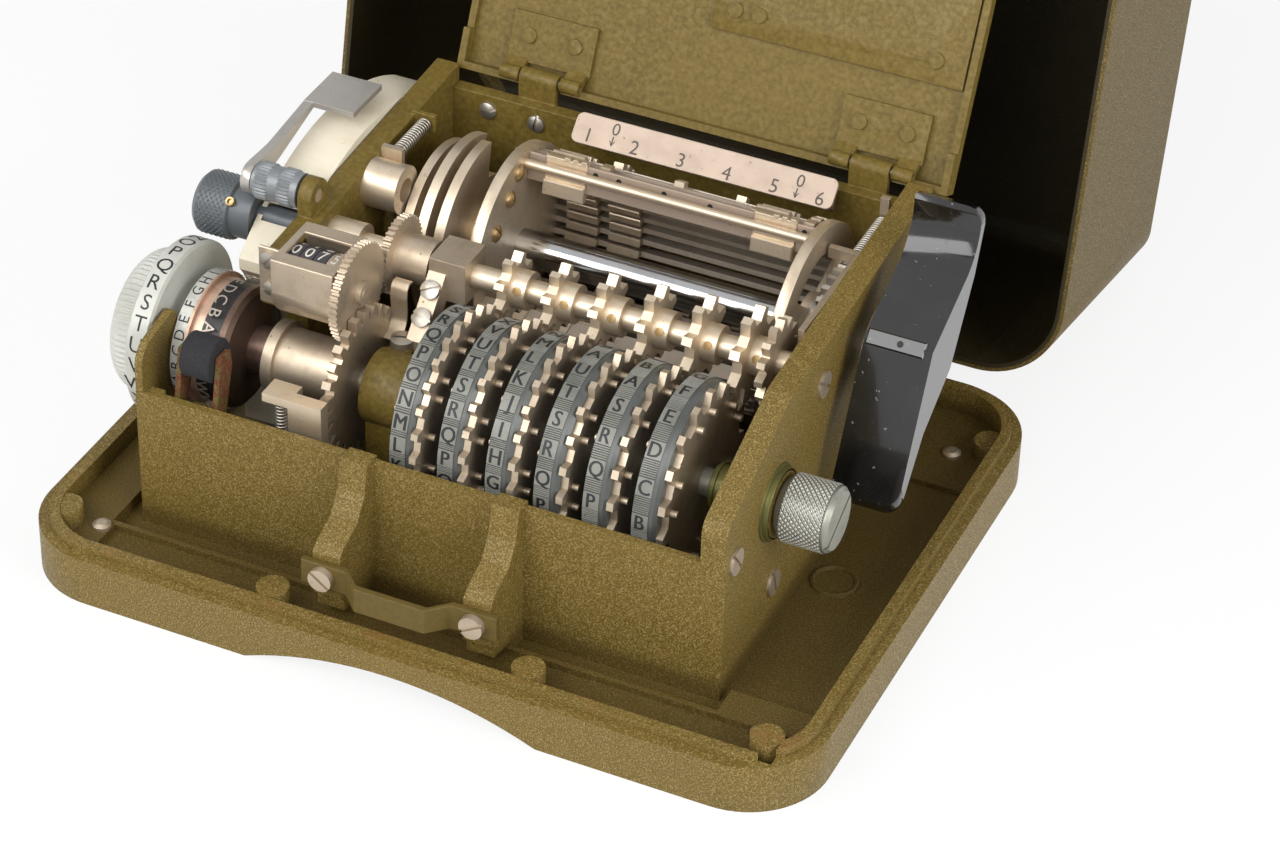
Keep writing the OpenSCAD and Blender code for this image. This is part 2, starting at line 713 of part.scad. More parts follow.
module counter_gear() {
    pitch_r = fine_module * counter_gear_teeth / 2;
    color(NICKEL) union() {
        gear_x(COUNTER_AXIS, fine_gear_x, fine_gear_t, counter_gear_teeth, pitch_r - 0.8 * fine_module,
            pitch_r + 0.55 * fine_module, 0.62, 0.26, spindle_r - 0.5,
            180 / counter_gear_teeth + mesh_angle());
        rod_x(COUNTER_AXIS, left_inner_x + 0.3, fine_gear_x + fine_gear_t + 1.4, spindle_r);
        rod_x(COUNTER_AXIS, fine_gear_x + 0.5, fine_gear_x + fine_gear_t + 1.2, 2.6);
        ring_x(COUNTER_AXIS, digit_left(3), digit_left(3) + digit_w, digit_r, spindle_r - 0.5);
    }
}

digit_w = (counter_w - case_wall - 1.2) / 4 - 0.2;
function digit_left(i) = left_inner_x + 0.6 + i * (digit_w + 0.2);

// Direction from the counter's spindle to the feed shaft
function mesh_angle() = atan2(feed_z - counter_z, feed_y - counter_y);

module digit_wheels() {
    color(BLACK) for (i = [0 : 2])
        ring_x(COUNTER_AXIS, digit_left(i), digit_left(i) + digit_w, digit_r, spindle_r + run_gap);
}

// Feed shaft with collars, one star for each wheel, and its two end gears
star_gap = 0.2;
function star_left(k) = gear_plate_left(k) + star_gap;

module feed_shaft() {
    color(NICKEL) union() {
        rod_x(FEED_AXIS, left_plate_x + 1.2, frame_right - 2, feed_r);
        for (k = WHEELS) rod_x(FEED_AXIS, star_left(k) + star_t, star_left(k) + star_t + 3.4, collar_r);
    }
}

module feed_stars() {
    toward_wheels = atan2(wheel_z - feed_z, wheel_y - feed_y);
    color(NICKEL) for (k = WHEELS) let (m = star_module(k), pitch_r = m * star_teeth / 2)
        gear_x(FEED_AXIS, star_left(k), star_t, star_teeth, pitch_r - 0.75 * m, pitch_r + 0.5 * m, 0.6, 0.24,
            feed_r + touch, toward_wheels + 180 / star_teeth);
}

module feed_gear() {
    pitch_r = fine_module * feed_gear_teeth / 2;
    ratchet_x = drum_right_x + disc_t + 1.5;
    color(NICKEL) {
        gear_x(FEED_AXIS, fine_gear_x, fine_gear_t, feed_gear_teeth, pitch_r - 0.8 * fine_module,
            pitch_r + 0.55 * fine_module, 0.62, 0.26, feed_r + touch, mesh_angle() + 180);
        ring_x(FEED_AXIS, fine_gear_x + fine_gear_t, bracket_left + 3, feed_r + 2.6, feed_r + touch);
        gear_x(FEED_AXIS, ratchet_x + 1.5, 1.8, 14, 7.4, 9.4, 0.9, 0.3, feed_r + touch);
    }
}

// Key wheels: a letter ring on a web, and behind it the toothed plate with its pins
module key_wheel(k) {
    left = wheel_left(k);
    color(GREY_PAINT) turned_x(WHEEL_AXIS) polygon([[axle_r + run_gap, left + 0.4],
        [axle_r + 3.5, left + 0.4], [axle_r + 3.5, left + 1.6], [pin_circle_r - 2.4, left + 1.6],
        [pin_circle_r - 2.4, left],
        [wheel_r - 0.4, left], [wheel_r, left + 0.4], [wheel_r, left + ring_w - 0.8],
        [wheel_r - 0.8, left + ring_w], [axle_r + run_gap, left + ring_w]]);
}

// A pin stands out to the right unless its place in the pattern sets it to the left
function pin_is_left(k, i) = (i * 7 + k * 5) % 11 < 4;

// Room that the largest toothed plate needs round the wheels' axis
function wheel_clear_r() = star_module(0) * (WHEEL_TEETH[0] + 1) / 2 + 0.4;

module wheel_pins(k) {
    teeth = WHEEL_TEETH[k];
    m = star_module(k);
    pitch_r = m * teeth / 2;
    left = gear_plate_left(k);
    toward_feed = atan2(feed_z - wheel_z, feed_y - wheel_y);
    color(NICKEL) {
        union() {
            gear_x(WHEEL_AXIS, left, tooth_plate_t, teeth, pitch_r - 0.7 * m, pitch_r + 0.5 * m, 0.56, 0.26,
                axle_r + run_gap, toward_feed);
            for (i = [0 : teeth - 1]) if (!pin_is_left(k, i))
                wheel_pin(360 * i / teeth, left + tooth_plate_t - 0.5, pin_out + 0.5);
        }
        for (i = [0 : teeth - 1]) if (pin_is_left(k, i))
            wheel_pin(360 * i / teeth, wheel_left(k) - pin_out, pin_out);
    }
}

module wheel_pin(angle, x, l) {
    rod_x(WHEEL_AXIS + polar(pin_circle_r, angle), x, x + l, pin_r);
}

// Axle of the wheels with its knurled knob outside the right plate
module key_axle() {
    knob_left = frame_right + 1.9;
    color(NICKEL) difference() {
        union() {
            rod_x(WHEEL_AXIS, bracket_left + 6.3, knob_left + 1, axle_r);
            turned_x(WHEEL_AXIS) polygon([[0, knob_left], [axle_knob_r - 1.4, knob_left],
                [axle_knob_r, knob_left + 1.4], [axle_knob_r, knob_left + axle_knob_l - 0.8],
                [axle_knob_r - 0.8, knob_left + axle_knob_l], [0, knob_left + axle_knob_l]]);
        }
        translate([knob_left + axle_knob_l - 0.9, wheel_y, wheel_z]) rotate([28, 0, 0])
            translate([0, -10, -0.4]) cube([2, 20, 0.8]);
    }
}

// Drum: shaft, end disc, end ring, cams, gear and the bars with their lugs
bar_outer_r = drum_r - lug_h - 0.2;
bar_first = 190;
bar_step = (360 - bar_gap_angle) / (bar_count - 1);
bar_left = drum_left_x - disc_t - 1.6;
bar_right = drum_right_x - 0.3;
tie_angle = 86;

module drum_shaft() {
    color(CHROME) {
        rod_x(DRUM_AXIS, left_plate_x + 1.2, frame_right + 0.5, drum_shaft_r);
        rod_x(DRUM_AXIS + polar(bar_outer_r - 1, tie_angle), drum_left_x, drum_right_x, 1.1);
    }
}

module drum_left_disc() {
    color(NICKEL) difference() {
        rod_x(DRUM_AXIS, drum_left_x - disc_t, drum_left_x, drum_r);
        rod_x(DRUM_AXIS, drum_left_x - disc_t - 1, drum_left_x + 1, drum_shaft_r + touch);
        for (i = [0 : bar_count - 1]) bar_shape(i, drum_left_x - disc_t - 1, drum_left_x + 1, bar_play);
    }
}

// Flat bar standing on its edge along a radius, with play all round
module bar_shape(i, x0, x1, play) {
    translate([0, drum_y, drum_z]) rotate([bar_first + bar_step * i, 0, 0])
        translate([x0, bar_outer_r - bar_h - play, -bar_t / 2 - play])
            cube([x1 - x0, bar_h + 2 * play, bar_t + 2 * play]);
}

module drum_right_ring() {
    color(NICKEL) along_x(drum_right_x, disc_t) translate(DRUM_AXIS) difference() {
        union() {
            difference() {
                circle(drum_r);
                circle(drum_r - 6);
            }
            for (a = [20, 140, 260]) rotate(a) translate([0, -3]) square([drum_r - 5, 6]);
            circle(drum_shaft_r + 3.5);
        }
        circle(drum_shaft_r + touch);
    }
}

// Three cam plates with spacers at the drum's left end
module drum_cams() {
    first = left_inner_x + 8.6;
    color(STEEL) difference() {
        union() {
            along_x(first, 2) translate(DRUM_AXIS) cam_outline(drum_r - 4, 30, 200);
            along_x(first + 4.6, 2.2) translate(DRUM_AXIS) cam_outline(drum_r - 1.5, 60, 210);
            along_x(first + 9, 2.2) translate(DRUM_AXIS) cam_outline(drum_r - 1, 80, 240);
            rod_x(DRUM_AXIS, first, bar_left - bar_travel - 0.6, drum_shaft_r + 3.5);
        }
        rod_x(DRUM_AXIS, first - 1, drum_left_x, drum_shaft_r + touch);
    }
}

// Full sector from one angle to another on a smaller round base
module cam_outline(r, a0, a1) {
    circle(r * 0.62);
    intersection() {
        circle(r);
        polygon(concat([[0, 0]], [for (i = [0 : 6]) polar(2 * r, a0 + (a1 - a0) * i / 6)]));
    }
}

drum_gear_teeth = 30;

module drum_gear() {
    x = right_inner_x - 5.7;
    color(STEEL) union() {
        gear_x(DRUM_AXIS, x, 2, drum_gear_teeth, drum_gear_r - 1.7, drum_gear_r, 0.66, 0.36,
            drum_shaft_r + touch);
        ring_x(DRUM_AXIS, drum_right_x + disc_t, x, drum_shaft_r + 4, drum_shaft_r + touch);
    }
}

module slide_bars() {
    color(STEEL) for (i = [0 : bar_count - 1]) bar_shape(i, bar_left, bar_right, 0);
}

// Each bar carries two lugs, most of them parked at the two free places
function lug_places(i) = [i % 4 == 1 ? 2 : 0.55, i % 5 == 3 ? 3.1 : 4.9];

module bar_lugs() {
    color(NICKEL) for (i = [0 : bar_count - 1], place = lug_places(i))
        translate([0, drum_y, drum_z]) rotate([bar_first + bar_step * i, 0, 0])
            translate([wheel_left(0) + 4 + place * wheel_pitch, bar_outer_r, -bar_t])
                cube([lug_w, lug_h, 2 * bar_t]);
}

// Offset grip on a round hub, bowed at the back and ridged in the middle of its front
grip_left = frame_right + handle_gap;
grip_end_r = 3.4;
grip_top = 0.82 * handle_front;
grip_low = 0.59 * handle_front;
grip_hollow = 0.66 * handle_front;
grip_hollow_r = 0.304 * handle_reach;
grip_ridge_u = 1.5;
GRIP_RIDGE = [-grip_ridge_u, handle_front];
HOLLOW_MIDDLE = [0.56 * handle_reach, grip_hollow + grip_hollow_r];

module power_handle() {
    hub_left = frame_right + 0.5;
    color(BLACK) union() {
        intersection() {
            along_x(grip_left, handle_w) translate(DRUM_AXIS) rotate(handle_lean) grip_outline();
            turned_x(DRUM_AXIS) grip_envelope();
        }
        rod_x(DRUM_AXIS, hub_left, grip_left + 6, handle_hub_r);
    }
}

// Half section of the space that the grip sweeps, rounded at its outer end
module grip_envelope() {
    right = grip_left + handle_w;
    polygon(concat([[0, grip_left - 1], [handle_reach, grip_left - 1]],
        arc([handle_reach - grip_end_r, right - grip_end_r], grip_end_r, 0, 90), [[0, right]]));
}

// Where a straight flank from the ridge meets the round hollow
function hollow_touch() = let (d = HOLLOW_MIDDLE - GRIP_RIDGE,
    a = atan2(d[1], d[0]) - asin(grip_hollow_r / norm(d)))
    GRIP_RIDGE + polar(sqrt(d * d - grip_hollow_r * grip_hollow_r), a);

// Side view of the grip, along it and out from the axis: a ridge over the hub, a hollow above it, thin ends
module grip_outline() {
    top_u = sqrt(handle_reach * handle_reach - grip_top * grip_top);
    low_u = sqrt(handle_reach * handle_reach - grip_low * grip_low);
    difference() {
        polygon([[top_u, grip_top], [-grip_ridge_u, handle_front], [-low_u, grip_low],
            [-low_u - 1, grip_low - handle_tip], [-low_u / 2, grip_low - handle_tip + 0.8],
            [-grip_ridge_u, handle_front - handle_t], [top_u * 0.6, grip_low - handle_tip],
            [top_u + 1, grip_top - handle_tip]]);
        translate(HOLLOW_MIDDLE) circle(grip_hollow_r, $fn = 128);
        polygon([GRIP_RIDGE, hollow_touch(), HOLLOW_MIDDLE, [GRIP_RIDGE[0], HOLLOW_MIDDLE[1] + handle_t]]);
    }
}

// Type wheel group on its own axle, turned by the setting knob
disc_left = knob_x + 7.6;
ring_left = frame_left + post_t + 0.5;
type_left = ring_left + 3.4;
type_w = 8.3;
collar_left = left_plate_x + 4;
sleeve_right = bracket_left - 2.7;

module type_axle() {
    color(STEEL) rod_x(WHEEL_AXIS, knob_x + 2, bracket_left + 5.7, axle_r);
}

module setting_knob() {
    color(IVORY) turned_x(WHEEL_AXIS) polygon([[0, knob_x], [knob_r - 4.5, knob_x],
        [knob_r - 2, knob_x + 0.8], [knob_r - 0.6, knob_x + 2.4], [knob_r, knob_x + 4.4], [knob_r, disc_left],
        [axle_r + run_gap, disc_left], [axle_r + run_gap, knob_x + 1.6], [0, knob_x + 1.6]]);
}

module letter_disc() {
    neck_r = inner_ring_r - 5.6;
    color(IVORY) turned_x(WHEEL_AXIS) polygon([[axle_r + run_gap, disc_left],
        [letter_disc_r - 0.5, disc_left], [letter_disc_r, disc_left + 0.5], [letter_disc_r, disc_left + 4.6],
        [letter_disc_r - 0.8, disc_left + 5], [letter_disc_r - 2.4, disc_left + 5],
        [neck_r, frame_left - 0.6], [neck_r, ring_left],
        [axle_r + run_gap, ring_left]]);
}

module type_wheel() {
    hub_right = collar_left - 0.3;
    color(RUST) turned_x(WHEEL_AXIS) polygon([[axle_r + run_gap, ring_left], [inner_ring_r, ring_left],
        [inner_ring_r, type_left - 0.2], [type_r, type_left - 0.2], [type_r, type_left + type_w - 0.8],
        [type_r - 1.2, type_left + type_w], [type_r - 2, type_left + type_w],
        [axle_r + 2.4, type_left + type_w + 1.2],
        [axle_r + 2.4, hub_right], [axle_r + run_gap, hub_right]]);
}

module type_sleeve() {
    color(NICKEL) turned_x(WHEEL_AXIS) polygon([[axle_r + run_gap, collar_left - 0.3],
        [axle_r + 1.6, collar_left - 0.3], [sleeve_r + 1.2, collar_left], [sleeve_r + 1.2, collar_left + 2.4],
        [sleeve_r, collar_left + 2.4], [sleeve_r, sleeve_right - 2], [axle_r + run_gap, sleeve_right - 2]]);
}

module detent_wheel() {
    color(NICKEL) gear_x(WHEEL_AXIS, sleeve_right - 2, 2, detent_teeth, detent_r - 2.4, detent_r, 0.7, 0.42,
        axle_r + run_gap);
}

// Rocking pawl in front of the detent wheel, on a round barrel
PAWL_AXIS = [front_inner_y + 2.9, wheel_z - 6];
pawl_left = sleeve_right - 8.6;
pawl_right = sleeve_right + 0.6;
pawl_rear = wheel_y - detent_r - 0.6;

module detent_pawl() {
    color(NICKEL) union() {
        rod_x(PAWL_AXIS, pawl_left, pawl_right, 1.7);
        box([pawl_left + 1.5, PAWL_AXIS[0] - 1.5, PAWL_AXIS[1]], [pawl_right, pawl_rear, wheel_z + 5.5]);
        box([spring_x - 1.8, PAWL_AXIS[0] - 1.5, wheel_z + 3.5],
            [pawl_left + 2, pawl_rear + 2.6, wheel_z + 5.5]);
    }
}

// Ink roller and its clip on the front wall
ink_distance = type_r + ink_r + 0.6;
INK_AXIS = WHEEL_AXIS + polar(ink_distance, 154.8);
ink_left = type_left + 3.2;
ink_right = type_left + 10.3;
ink_pin_r = 1.2;
clip_t = 1.2;

module ink_roller() {
    color(BLACK) ring_x(INK_AXIS, ink_left, ink_right, ink_r, ink_pin_r + run_gap);
}

module ink_holder() {
    base_z = front_top_z - 12;
    color(RUST) union() {
        rod_x(INK_AXIS, ink_left - 0.3 - clip_t, ink_right + 0.3 + clip_t, ink_pin_r);
        box([ink_left - 0.3 - clip_t, front_inner_y, base_z],
            [ink_right + 0.3 + clip_t, front_inner_y + clip_t, front_top_z - 3]);
        for (x = [ink_left - 0.3 - clip_t, ink_right + 0.3]) along_x(x, clip_t) polygon([
            [front_inner_y, base_z], [front_inner_y + clip_t, base_z], INK_AXIS + [2.4, -1.6],
            INK_AXIS + [2, 2], INK_AXIS + [-2, 2], [front_inner_y, front_top_z - 1]]);
    }
}

// Cream tape housing with an arched top, the paper roll inside, feed knob and press lever
tape_left = left_plate_x - 0.3 - tape_w;
tape_right = left_plate_x - 0.3;
ROLL_AXIS = [feed_y + 35, feed_z - 20];
ARCH_AXIS = [feed_y + 29.2, feed_z - 52.2];
arch_r = 62.3;
spool_r = 5;

module tape_outline(inset) {
    intersection() {
        translate(ARCH_AXIS) circle(arch_r - inset, $fn = 128);
        difference() {
            translate([wheel_y + 11.5 + inset, low_floor_z + 5 + inset])
                square([frame_rear - wheel_y - 10.5 - 2 * inset, case_h]);
            translate(WHEEL_AXIS) circle(inner_ring_r + 1 + inset);
        }
    }
}

module tape_housing() {
    color(CREAM) union() {
        difference() {
            along_x(tape_left, tape_w) tape_outline(0);
            along_x(tape_left + tape_wall, tape_w - 2 * tape_wall) tape_outline(tape_wall);
            rod_x(FEED_AXIS, tape_left - 1, tape_left + tape_wall + 1, feed_r + run_gap);
            rod_x(FEED_AXIS, tape_left + tape_wall, tape_right - tape_wall, feed_r + 0.7);
        }
        rod_x(ROLL_AXIS, tape_right - tape_wall - 0.5, tape_right + 0.3, spool_r);
        rod_x(ROLL_AXIS, tape_left + tape_wall + 1, tape_right - tape_wall, spool_r);
    }
}

module paper_roll() {
    color(PAPER) ring_x(ROLL_AXIS, tape_left + tape_wall + 0.5, tape_right - tape_wall - 0.5,
        roll_r, spool_r + run_gap);
}

module tape_feed_knob() {
    color(STEEL) union() {
        rod_x(FEED_AXIS, tape_left - 5, tape_right - tape_wall - 1.2, feed_r);
        rod_x(FEED_AXIS, tape_left + tape_wall + 0.6, tape_right - tape_wall - 0.6, feed_r + 0.2);
        turned_x(FEED_AXIS) polygon([[0, tape_left - 14], [feed_knob_r - 1, tape_left - 14],
            [feed_knob_r, tape_left - 13], [feed_knob_r, tape_left - 5.6],
            [feed_knob_r - 0.8, tape_left - 5.2], [feed_knob_r - 0.8, tape_left - 0.4],
            [0, tape_left - 0.4]]);
    }
}

module press_roller() {
    color(GREY_PAINT) ring_x(PRESS_AXIS, tape_left + 0.2, tape_right - 0.2, press_r, press_pin_r + run_gap);
}

module press_lever() {
    left = tape_left - 2.4;
    pad_z = PRESS_AXIS[1] + 3.5;
    pad_front = PRESS_AXIS[0] + 25;
    arm_t = 2.2;
    color(STEEL) difference() {
        union() {
            rod_x(PRESS_AXIS, left, left + arm_t, 3.4);
            along_x(left, arm_t) polygon([PRESS_AXIS + [-1, -2.6], PRESS_AXIS + [10, -0.6],
                [pad_front + 1, pad_z], [pad_front + 1, pad_z + 1.3], PRESS_AXIS + [9, 3],
                PRESS_AXIS + [0, 3.4]]);
            box([left, pad_front, pad_z], [tape_right - 1.4, pad_front + 13, pad_z + 1.3]);
        }
        rod_x(PRESS_AXIS, left - 1, left + arm_t + 1, press_pin_r + run_gap);
    }
}

// Cover: a box with rounded edges, open below, drawn closed and then swung open
module case_solid(w, d, z0, z1, r, edge) {
    intersection() {
        translate([0, 0, z0]) linear_extrude(z1 - z0) rounded_rect(w, d, r);
        rotate([90, 0, 0]) translate([0, 0, -d]) linear_extrude(2 * d) top_rounded(w, z0, z1, edge);
        rotate([90, 0, 90]) translate([0, 0, -w]) linear_extrude(2 * w) top_rounded(d, z0, z1, edge);
    }
}

module top_rounded(w, z0, z1, edge) {
    translate([-w / 2, z0 - 1]) square([w, z1 - z0 + 1 - edge]);
    translate([-w / 2 + edge, z0 - 1]) square([w - 2 * edge, z1 - z0 + 1]);
    for (x = [-1, 1]) translate([x * (w / 2 - edge), z1 - edge]) circle(edge);
}

module outer_cover() {
    color(OLIVE) opened(HINGE, cover_open) union() {
        difference() {
            case_solid(case_w, case_d, rim_z, case_h, corner_r, cover_edge_r);
            case_solid(case_w - 2 * cover_wall, case_d - 2 * cover_wall, rim_z - 1, case_h - cover_wall,
                corner_r - cover_wall, cover_edge_r - cover_wall);
        }
        for (x = [-hinge_x, hinge_x], side = [-1, 1]) cover_knuckle(x + side * (knuckle_l + 0.4));
    }
}

module cover_knuckle(x) {
    difference() {
        union() {
            rod_x(HINGE, x - knuckle_l / 2, x + knuckle_l / 2, knuckle_r);
            box([x - knuckle_l / 2, case_d / 2 - 1, rim_z + 0.2],
                [x + knuckle_l / 2, HINGE[0], rim_z + knuckle_r]);
        }
        rod_x(HINGE, x - knuckle_l, x + knuckle_l, hinge_pin_r + run_gap);
    }
}

// Inner lid: a bent sheet with shallow sides over the frame
lid_left = left_plate_x + 4;
lid_right = frame_right + 2.7;
lid_bend_r = 4.5;
lid_rear = LID_HINGE[0] + 2.1;
lid_front = lid_front_gap - case_d / 2;
LID_BEND = [lid_rear - lid_bend_r, lid_top_z - lid_bend_r];

module lid_outline(inset) {
    r = lid_bend_r - inset;
    translate([lid_front, lid_top_z - 3]) square([LID_BEND[0] - lid_front, 3 - inset]);
    translate(LID_BEND - [r, 0]) square([2 * r, 0.01 + r]);
    translate(LID_BEND) circle(r);
    translate([LID_BEND[0], LID_HINGE[1] + 0.7]) square([r, LID_BEND[1] - LID_HINGE[1]]);
}

module inner_lid() {
    color(OLIVE) opened(LID_HINGE, lid_open) difference() {
        along_x(lid_left, lid_right - lid_left) lid_outline(0);
        along_x(lid_left + lid_t, lid_right - lid_left - 2 * lid_t) union() {
            lid_outline(lid_t);
            translate([lid_front - 1, lid_top_z - 12]) square([LID_BEND[0] - lid_front + 1, 12 - lid_t]);
            translate([LID_BEND[0] - 1, LID_HINGE[1] - 2])
                square([lid_bend_r - lid_t + 1, LID_BEND[1] - LID_HINGE[1] + 2]);
        }
        box([lid_left - 1, lid_front - 1, lid_top_z - 20],
            [lid_right + 1, LID_HINGE[0] + 10, LID_HINGE[1] + 0.7]);
        for (x = LID_HINGE_X)
            rod_x(LID_HINGE, x - lid_knuckle_l / 2 - 0.3, x + lid_knuckle_l / 2 + 0.3, lid_knuckle_r + 0.4);
        for (x = LID_HINGE_X, side = [-1, 1])
            lid_knuckle(x + side * (lid_knuckle_l / 2 + 2.7), lid_top_z - lid_t);
    }
}

// Hinge leaves, their rivets and the riveted stiffening plate on the lid's inner face
module lid_fittings() {
    inner_z = lid_top_z - lid_t;
    leaf_t = 1.2;
    leaf_front = LID_BEND[0] - 11;
    plate_left = 5;
    plate_rear = LID_HINGE[0] - 20;
    color(OLIVE) opened(LID_HINGE, lid_open) {
        for (x = LID_HINGE_X) difference() {
            union() {
                box([x - 10, leaf_front, inner_z - leaf_t], [x + 10, LID_BEND[0], inner_z]);
                for (side = [-1, 1]) lid_knuckle(x + side * (lid_knuckle_l / 2 + 2.7), inner_z);
                for (side = [-1, 1]) translate([x + side * 5.5, leaf_front + 5, inner_z - leaf_t - 0.8])
                    cylinder(h = 1, r = 1.7);
            }
            rod_x(LID_HINGE, x - 2 * lid_knuckle_l, x + 2 * lid_knuckle_l, lid_pin_r + run_gap);
        }
        union() {
            box([plate_left, plate_rear - 22, inner_z - 1], [lid_right - lid_t - 0.6, plate_rear, inner_z]);
            for (x = [plate_left + 5, plate_left + 10.5, lid_right - 9])
                translate([x, plate_rear - 5, inner_z - 1.8]) cylinder(h = 1, r = 1.7);
        }
    }
}

module lid_knuckle(x, inner_z) {
    w = 4.6;
    rod_x(LID_HINGE, x - w / 2, x + w / 2, lid_knuckle_r - 0.4);
    along_x(x - w / 2, w) polygon([[LID_BEND[0] - 1, inner_z], [LID_BEND[0], inner_z],
        [LID_BEND[0] + 2.6, LID_BEND[1] + 0.1], [LID_HINGE[0] + 0.3, LID_HINGE[1]],
        [LID_HINGE[0] - 1.4, LID_HINGE[1] + 0.6], [LID_BEND[0] - 1, inner_z - 1.2]]);
}

// Springs: each one unbroken wire, straight for one wire thickness at both ends
spring_x = pawl_left - 2.6;
pawl_spring_y = front_inner_y + 6.3;
pawl_spring_z = low_floor_z + 14;
side_spring_x = left_inner_x + 2.8;
side_spring_z = COLLAR_AXIS[1] + 4.4;
side_spring_front = COLLAR_AXIS[0] + bush_r + 0.3;
side_spring_rear = side_spring_front + 14;
SPRING_ENDS = [
    [[side_spring_x, side_spring_front, side_spring_z], [side_spring_x, side_spring_rear, side_spring_z]],
    [[stop_x, stop_bend_y, stop_top_z - 1.6], [stop_x, stop_lug_y, stop_top_z - 1.6]],
    [[spring_x, pawl_spring_y, pawl_spring_z], [spring_x, pawl_spring_y, wheel_z + 3.5]]];
rings_per_turn = 8;
wire_sides = 6;

function spring_length(s) = norm(SPRING_ENDS[s][1] - SPRING_ENDS[s][0]);
function spring_turns(s) = floor((spring_length(s) - 2 * wire_d) / coil_rise);
function spring_rise(s) = (spring_length(s) - 2 * wire_d) / spring_turns(s);
function coil_point(s, i) = let (a = 360 * i / rings_per_turn)
    [coil_r * cos(a), coil_r * sin(a), wire_d + spring_rise(s) * i / rings_per_turn];
function wire_path(s) = concat([[coil_r, 0, 0]],
    [for (i = [0 : spring_turns(s) * rings_per_turn]) coil_point(s, i)], [[coil_r, 0, spring_length(s)]]);
function wire_frame(path, i) = let (last = len(path) - 1,
    run = path[min(i + 1, last)] - path[max(i - 1, 0)],
    along = i == 0 || i == last ? [0, 0, 1] : run / norm(run),
    out = [path[i][0], path[i][1], 0] / coil_r, side = cross(along, out))
    [cross(side, along) / norm(side), side / norm(side)];
function wire_ring(path, i) = let (f = wire_frame(path, i))
    [for (j = [0 : wire_sides - 1]) let (p = polar(wire_d / 2, 360 * j / wire_sides))
        path[i] + p[0] * f[0] + p[1] * f[1]];

// Least distance between points of the wire half a turn or more apart, less the wire's thickness
function wire_gap(s) = let (p = wire_path(s), n = len(p), half = rings_per_turn / 2)
    min([for (i = [0 : n - 1 - half], j = [i + half : n - 1]) norm(p[i] - p[j])]) - wire_d;

module spring(s) {
    path = wire_path(s);
    n = len(path);
    points = [for (i = [0 : n - 1]) each wire_ring(path, i)];
    sides = [for (i = [0 : n - 2], j = [0 : wire_sides - 1])
        let (k = (j + 1) % wire_sides, a = i * wire_sides)
        each [[a + j, a + wire_sides + j, a + k], [a + k, a + wire_sides + j, a + wire_sides + k]]];
    caps = [for (j = [1 : wire_sides - 2]) each [[0, j, j + 1],
        [(n - 1) * wire_sides, (n - 1) * wire_sides + j + 1, (n - 1) * wire_sides + j]]];
    line = SPRING_ENDS[s][1] - SPRING_ENDS[s][0];
    translate(SPRING_ENDS[s][0]) rotate([0, acos(line[2] / norm(line)), atan2(line[1], line[0])])
        polyhedron(points, concat(sides, caps));
}

module springs() {
    color(STEEL) for (s = [0 : len(SPRING_ENDS) - 1]) spring(s);
}

echo(least_spring_gap = min([for (s = [0 : len(SPRING_ENDS) - 1]) wire_gap(s)]),
    spring_turns = [for (s = [0 : len(SPRING_ENDS) - 1]) spring_turns(s)]);

tray();
front_wall();
carry_strap();
fasteners();
left_plate();
right_plate();
rear_wall();
index_plate();
drum_stop_bracket();
axle_bracket();
bearing_block();
bushes();
fixed_pins();
counter_case();
type_axle();
ink_holder();
tape_housing();
springs();
outer_cover();
inner_lid();
lid_fittings();
drum_shaft();
drum_left_disc();
drum_right_ring();
drum_cams();
drum_gear();
power_handle();
slide_bars();
bar_lugs();
feed_shaft();
feed_stars();
feed_gear();
for (k = WHEELS) {
    key_wheel(k);
    wheel_pins(k);
}
key_axle();
guide_arms();
counter_gear();
digit_wheels();
setting_knob();
letter_disc();
type_wheel();
type_sleeve();
detent_wheel();
detent_pawl();
ink_roller();
paper_roll();
tape_feed_knob();
press_lever();
press_roller();
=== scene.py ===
"""Dresses the pinwheel cipher machine: finishes, letters, knurls, springs and small fittings."""
import logging
import math
from dataclasses import dataclass
from enum import Enum
from string import ascii_uppercase, digits
from typing import Callable, Dict, List, Optional, Sequence, Tuple, Union

import bmesh
import bpy
import numpy as np
from mathutils import Matrix, Vector


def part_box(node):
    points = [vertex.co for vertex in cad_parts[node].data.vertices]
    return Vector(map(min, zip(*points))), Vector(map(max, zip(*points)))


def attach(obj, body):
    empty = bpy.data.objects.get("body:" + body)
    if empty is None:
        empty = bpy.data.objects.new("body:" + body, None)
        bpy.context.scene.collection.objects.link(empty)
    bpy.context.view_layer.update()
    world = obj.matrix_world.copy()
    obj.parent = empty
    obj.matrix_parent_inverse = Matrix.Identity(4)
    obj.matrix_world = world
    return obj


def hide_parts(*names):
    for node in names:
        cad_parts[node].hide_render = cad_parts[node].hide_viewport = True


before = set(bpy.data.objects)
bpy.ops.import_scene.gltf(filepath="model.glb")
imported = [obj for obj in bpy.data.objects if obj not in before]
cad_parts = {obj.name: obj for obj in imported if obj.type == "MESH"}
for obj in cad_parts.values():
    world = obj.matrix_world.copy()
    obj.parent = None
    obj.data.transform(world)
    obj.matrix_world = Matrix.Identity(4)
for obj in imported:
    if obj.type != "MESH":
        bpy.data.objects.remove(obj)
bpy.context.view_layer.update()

LOG = logging.getLogger("cipher_machine")
MM = 0.001
RIGHT = Vector((1, 0, 0))
BACK = Vector((0, 1, 0))
FRONT = Vector((0, -1, 0))
UP = Vector((0, 0, 1))
Colour = Tuple[float, float, float]
Number = Union[float, "Value"]
Profile = Sequence[Tuple[float, float]]
Patch = Tuple[np.ndarray, np.ndarray]


